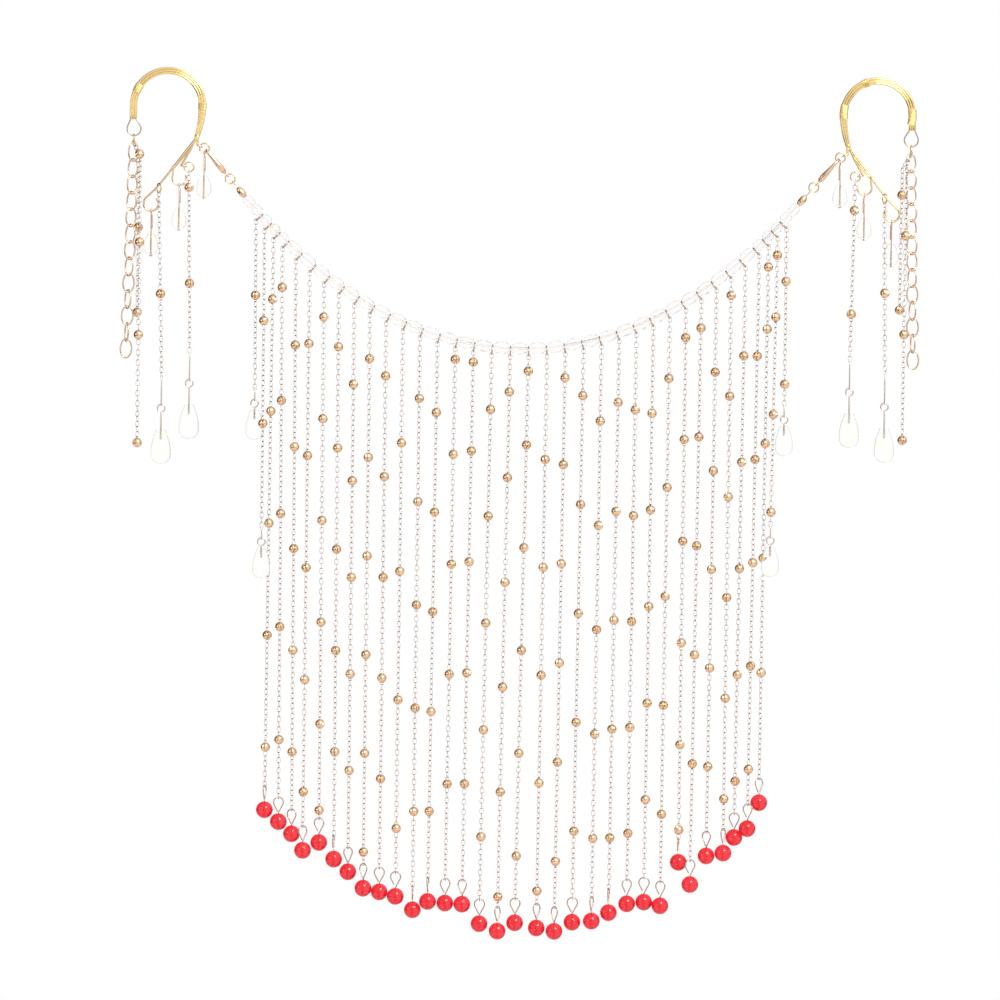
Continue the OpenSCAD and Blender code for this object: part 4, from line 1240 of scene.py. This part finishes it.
# %% Head pins and small drops
HEAD_EYE_R, HEAD_PIN_LEN, DOUBLE_LEN, LOW_PIN_LEAN = 0.78, 15.4, 5.4, 8.5
SMALL_H, SMALL_D, HEAD_T = 7.8, 5.3, 0.35
head_pins, small_glass = Shape(), Shape()


def small_pear():
    """A drop that is bored right through, for the shank of its pin."""
    bore = PIN_WIRE / 2 + CLEAR
    side = pear_side(SMALL_H, SMALL_D, 10, np.linspace(8, 72, 9))
    profile = [(bore, 0), (side[0][0] - 0.1, -0.02), *side, (bore, -SMALL_H)]
    return lathe(profile[::-1], 28, closed=True)


SMALL_PEAR = small_pear()
PIN_HEAD = lathe([(0.4, 0), (0.6, HEAD_T * 0.25), (0.6, HEAD_T * 0.7), (0.35, HEAD_T)], 16)
HEAD_EYE_DROP = HEAD_EYE_R - (PIN_WIRE + BRANCH_WIRE) / 2 - CLEAR
EYE_FOOT = -HEAD_EYE_DROP - HEAD_EYE_R
shank = [[0, 0, EYE_FOOT + 0.1], [0, 0, EYE_FOOT - 8], [0, 0, EYE_FOOT - HEAD_PIN_LEN]]
tail = [[0.1, 0, EYE_FOOT + 0.1], [0.36, 0, EYE_FOOT - 0.5], [0.42, 0, EYE_FOOT - DOUBLE_LEN / 2],
        [0.40, 0, EYE_FOOT - DOUBLE_LEN]]
for side in SIDES:
    for start, lean in (
        (HOLD_RING - [0, 0, JOIN_R], 0),
        (xz(BIG_CURL) - [0, 0, BIG_CURL_R], 0),
        (xz(LOW_CURL) - [0, 0, LOW_CURL_R], LOW_PIN_LEAN),
    ):
        here = moved(start) @ turned(x=lean)
        head = here @ moved([0, 0, EYE_FOOT - HEAD_PIN_LEN])
        add_side(head_pins, side, closed_ring(HEAD_EYE_R, PIN_WIRE),
                 here @ moved([0, 0, -HEAD_EYE_DROP]) @ turned(z=90))
        add_side(head_pins, side, sweep(shank, PIN_WIRE / 2), here)
        add_side(head_pins, side, sweep(tail, PIN_WIRE / 2 * 0.9, 6), here)
        add_side(head_pins, side, PIN_HEAD, head)
        add_side(small_glass, side, SMALL_PEAR, head @ moved([0, 0, HEAD_T + CLEAR + SMALL_H]))
head_pins.make("head_pins", ROSE_PINS, "fine_chain", nodes=["short_drop_pins"])
small_glass.make("small_drops", CLEAR_DROP, "clear_crystal", nodes=["small_drops"])

# %% [markdown]
# A lobster clasp is cast in one piece. Its body is slim at the nose, widens to the
# cheeks that hold the lever's pin and ends in the tail eye. Here it is one bent bar
# whose section grows, with two domed cheeks. From the front it is seen on its edge.

# %% Clasp bodies
NOSE_X, NOSE_R = 9.5, 2.1
PIVOT = (3, 1.1)
# Along the bar: place on the clasp's flat side, half thickness and half width
BAR = [(0.9, -0.1, 0.40, 0.45), (1.8, -0.5, 0.75, 0.80), (3.0, -1.1, 1.05, 1.05), (4.5, -1.5, 0.85, 1.0),
       (6.0, -1.8, 0.60, 0.85), (8.0, -2.05, 0.42, 0.62)]
BAR += [(NOSE_X + NOSE_R * math.cos(a), NOSE_R * math.sin(a), 0.40, 0.5 - 0.05 * math.sin(a))
        for a in np.radians(np.linspace(-90, 90, 13))]
BAR += [(8.8, 2.1, 0.36, 0.42)]


def bar_piece(rows, sides):
    """A bar of oval section in the XY plane, along rows of place and half sizes.

    Its ends are rounded: a little further out its section is half as large."""
    rows = np.array(rows, float)
    ahead = np.gradient(rows[:, :2], axis=0)
    ahead /= np.linalg.norm(ahead, axis=1)[:, None]
    half = [1, 1, 0.5, 0.5]
    rows = np.vstack([rows[:1] * half - [*ahead[0] * 0.25, 0, 0], rows,
                      rows[-1:] * half + [*ahead[-1] * 0.25, 0, 0]])
    ahead = np.vstack([ahead[:1], ahead, ahead[-1:]])
    points = []
    for (x, y, thick, wide), (u, v) in zip(rows, ahead):
        for a in 2 * np.pi * (np.arange(sides) + 0.5) / sides:
            across, up = thick * math.cos(a), wide * math.sin(a)
            points.append([x - v * across, y + u * across, up])
    return np.array(points), tube_faces(len(rows), sides)


CHEEK_Y, TAIL_LAP = 0.1, 0.2
CHEEK = lathe([(0.05, 0.45), (1.75, 0.45), (1.9, 0.62), (1.72, 0.86), (1.2, 1.0), (0.05, 1.04)], 28)
PIN_ENDS = lathe([(0.05, -1.1), (0.26, -1.08), (0.35, -1.0), (0.35, 1.0), (0.26, 1.08), (0.05, 1.1)], 16)
TAIL_EYE = closed_ring(0.95, 0.55, 24, 10)
CLASP_BASE = jump_middle + (JOIN_R + TAIL_LAP) * OUTWARD
for side in SIDES:
    body = Shape()
    here = moved(CLASP_BASE) @ turned(y=180 + END)
    add_side(body, side, bar_piece(BAR, 16), here)
    for flip in (0, 180):
        add_side(body, side, CHEEK, here @ moved([PIVOT[0], CHEEK_Y, 0]) @ turned(x=flip))
    add_side(body, side, PIN_ENDS, here @ moved([*PIVOT, 0]))
    add_side(body, side, TAIL_EYE, here @ turned(x=90))
    body.make(f"clasp_body_{side}", CLASP_GOLD, "clasp_metal", nodes=[f"clasp_{side}"])

# %% [markdown]
# A clam tip is a little cup in two halves that close over the thread's knot. Its body is
# turned on a lathe and then dented along both seams, where the halves meet. The nose
# ends in a small loop for the ring that holds the clasp.

# %% Clam tips
CLAM_LEN, CLAM_D, TIP_LOOP_R, TIP_LOOP_WIRE = 4.4, 2.6, 0.8, 0.4
MOUTH_R, MOUTH_DEPTH, SEAM_DEPTH, SEAM_HALF = 0.36, 1.3, 0.12, 0.03


def clam():
    """A closed clam tip along Z, with its mouth at the origin."""
    outside = smooth([(0.25, 0), (0.42, 0.15), (0.5, 0.4), (0.46, 0.7), (0.3, 0.92), (0.12, 1)])
    mouth = [(0.03, MOUTH_DEPTH), (MOUTH_R, MOUTH_DEPTH), (MOUTH_R, 0.06), (MOUTH_R + 0.06, 0)]
    points, faces = lathe(mouth + [(r * CLAM_D, z * CLAM_LEN) for r, z in outside], 40)
    seam = np.abs(points[:, 1]) < SEAM_HALF * np.abs(points[:, 0])
    points[:, :2] *= 1 - SEAM_DEPTH * seam[:, None]
    return points, faces


tips = Shape()
nose = [[x, 0, 0] for x in (CLAM_LEN - 0.3, CLAM_LEN + 0.5, TIP_LEN - TIP_LOOP_R)]
for side in SIDES:
    here = moved(swag_end - LEFT_HOOK) @ turned(y=180 + END)
    add_side(tips, side, clam(), here @ turned(y=90))
    add_side(tips, side, sweep(nose, TIP_LOOP_WIRE / 2), here)
    add_side(tips, side, closed_ring(TIP_LOOP_R, TIP_LOOP_WIRE, 24),
             here @ moved([TIP_LEN, 0, 0]) @ turned(x=90))
tips.make("clam_tips", BALL_GOLD, "gold_wire", nodes=["crimp_tips"])

# %% [markdown]
# The levers come from the solid model itself, because their shape is right and they
# turn in the clasps. A bevel takes off the sharp edges, as casting and polishing do.

# %% Levers
BEVEL, SHARP_FROM = 0.16, 40
for name in ("lever_left", "lever_right"):
    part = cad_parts[name]
    part.data.materials.clear()
    part.data.materials.append(CLASP_GOLD)
    bevel = part.modifiers.new("softened edges", "BEVEL")
    bevel.width = BEVEL * MM
    bevel.segments = 3
    bevel.limit_method = "ANGLE"
    bevel.angle_limit = math.radians(SHARP_FROM)
    print(name, "dressed")

# %% [markdown]
# A plain pale floor lies under the veil. It is small enough to stay out of the front
# view, in which the real one is shown on white.

# %% Floor
FLOOR_GAP, FLOOR_HALF = 0.08, 0.6
floor_mesh = bpy.data.meshes.new("floor")
corners = [(MIDDLE.x + x * FLOOR_HALF, MIDDLE.y + y * FLOOR_HALF, cad_low.z - FLOOR_GAP)
           for x, y in ((-1, -1), (1, -1), (1, 1), (-1, 1))]
floor_mesh.from_pydata(corners, [], [(0, 1, 2, 3)])
pale = Finish("pale floor", Base_Color=(0.86, 0.86, 0.85, 1), Roughness=0.7)
floor_mesh.materials.append(pale.material)
floor = bpy.data.objects.new("floor", floor_mesh)
bpy.context.scene.collection.objects.link(floor)
print("floor", round(FLOOR_GAP / MM), "mm below the veil")
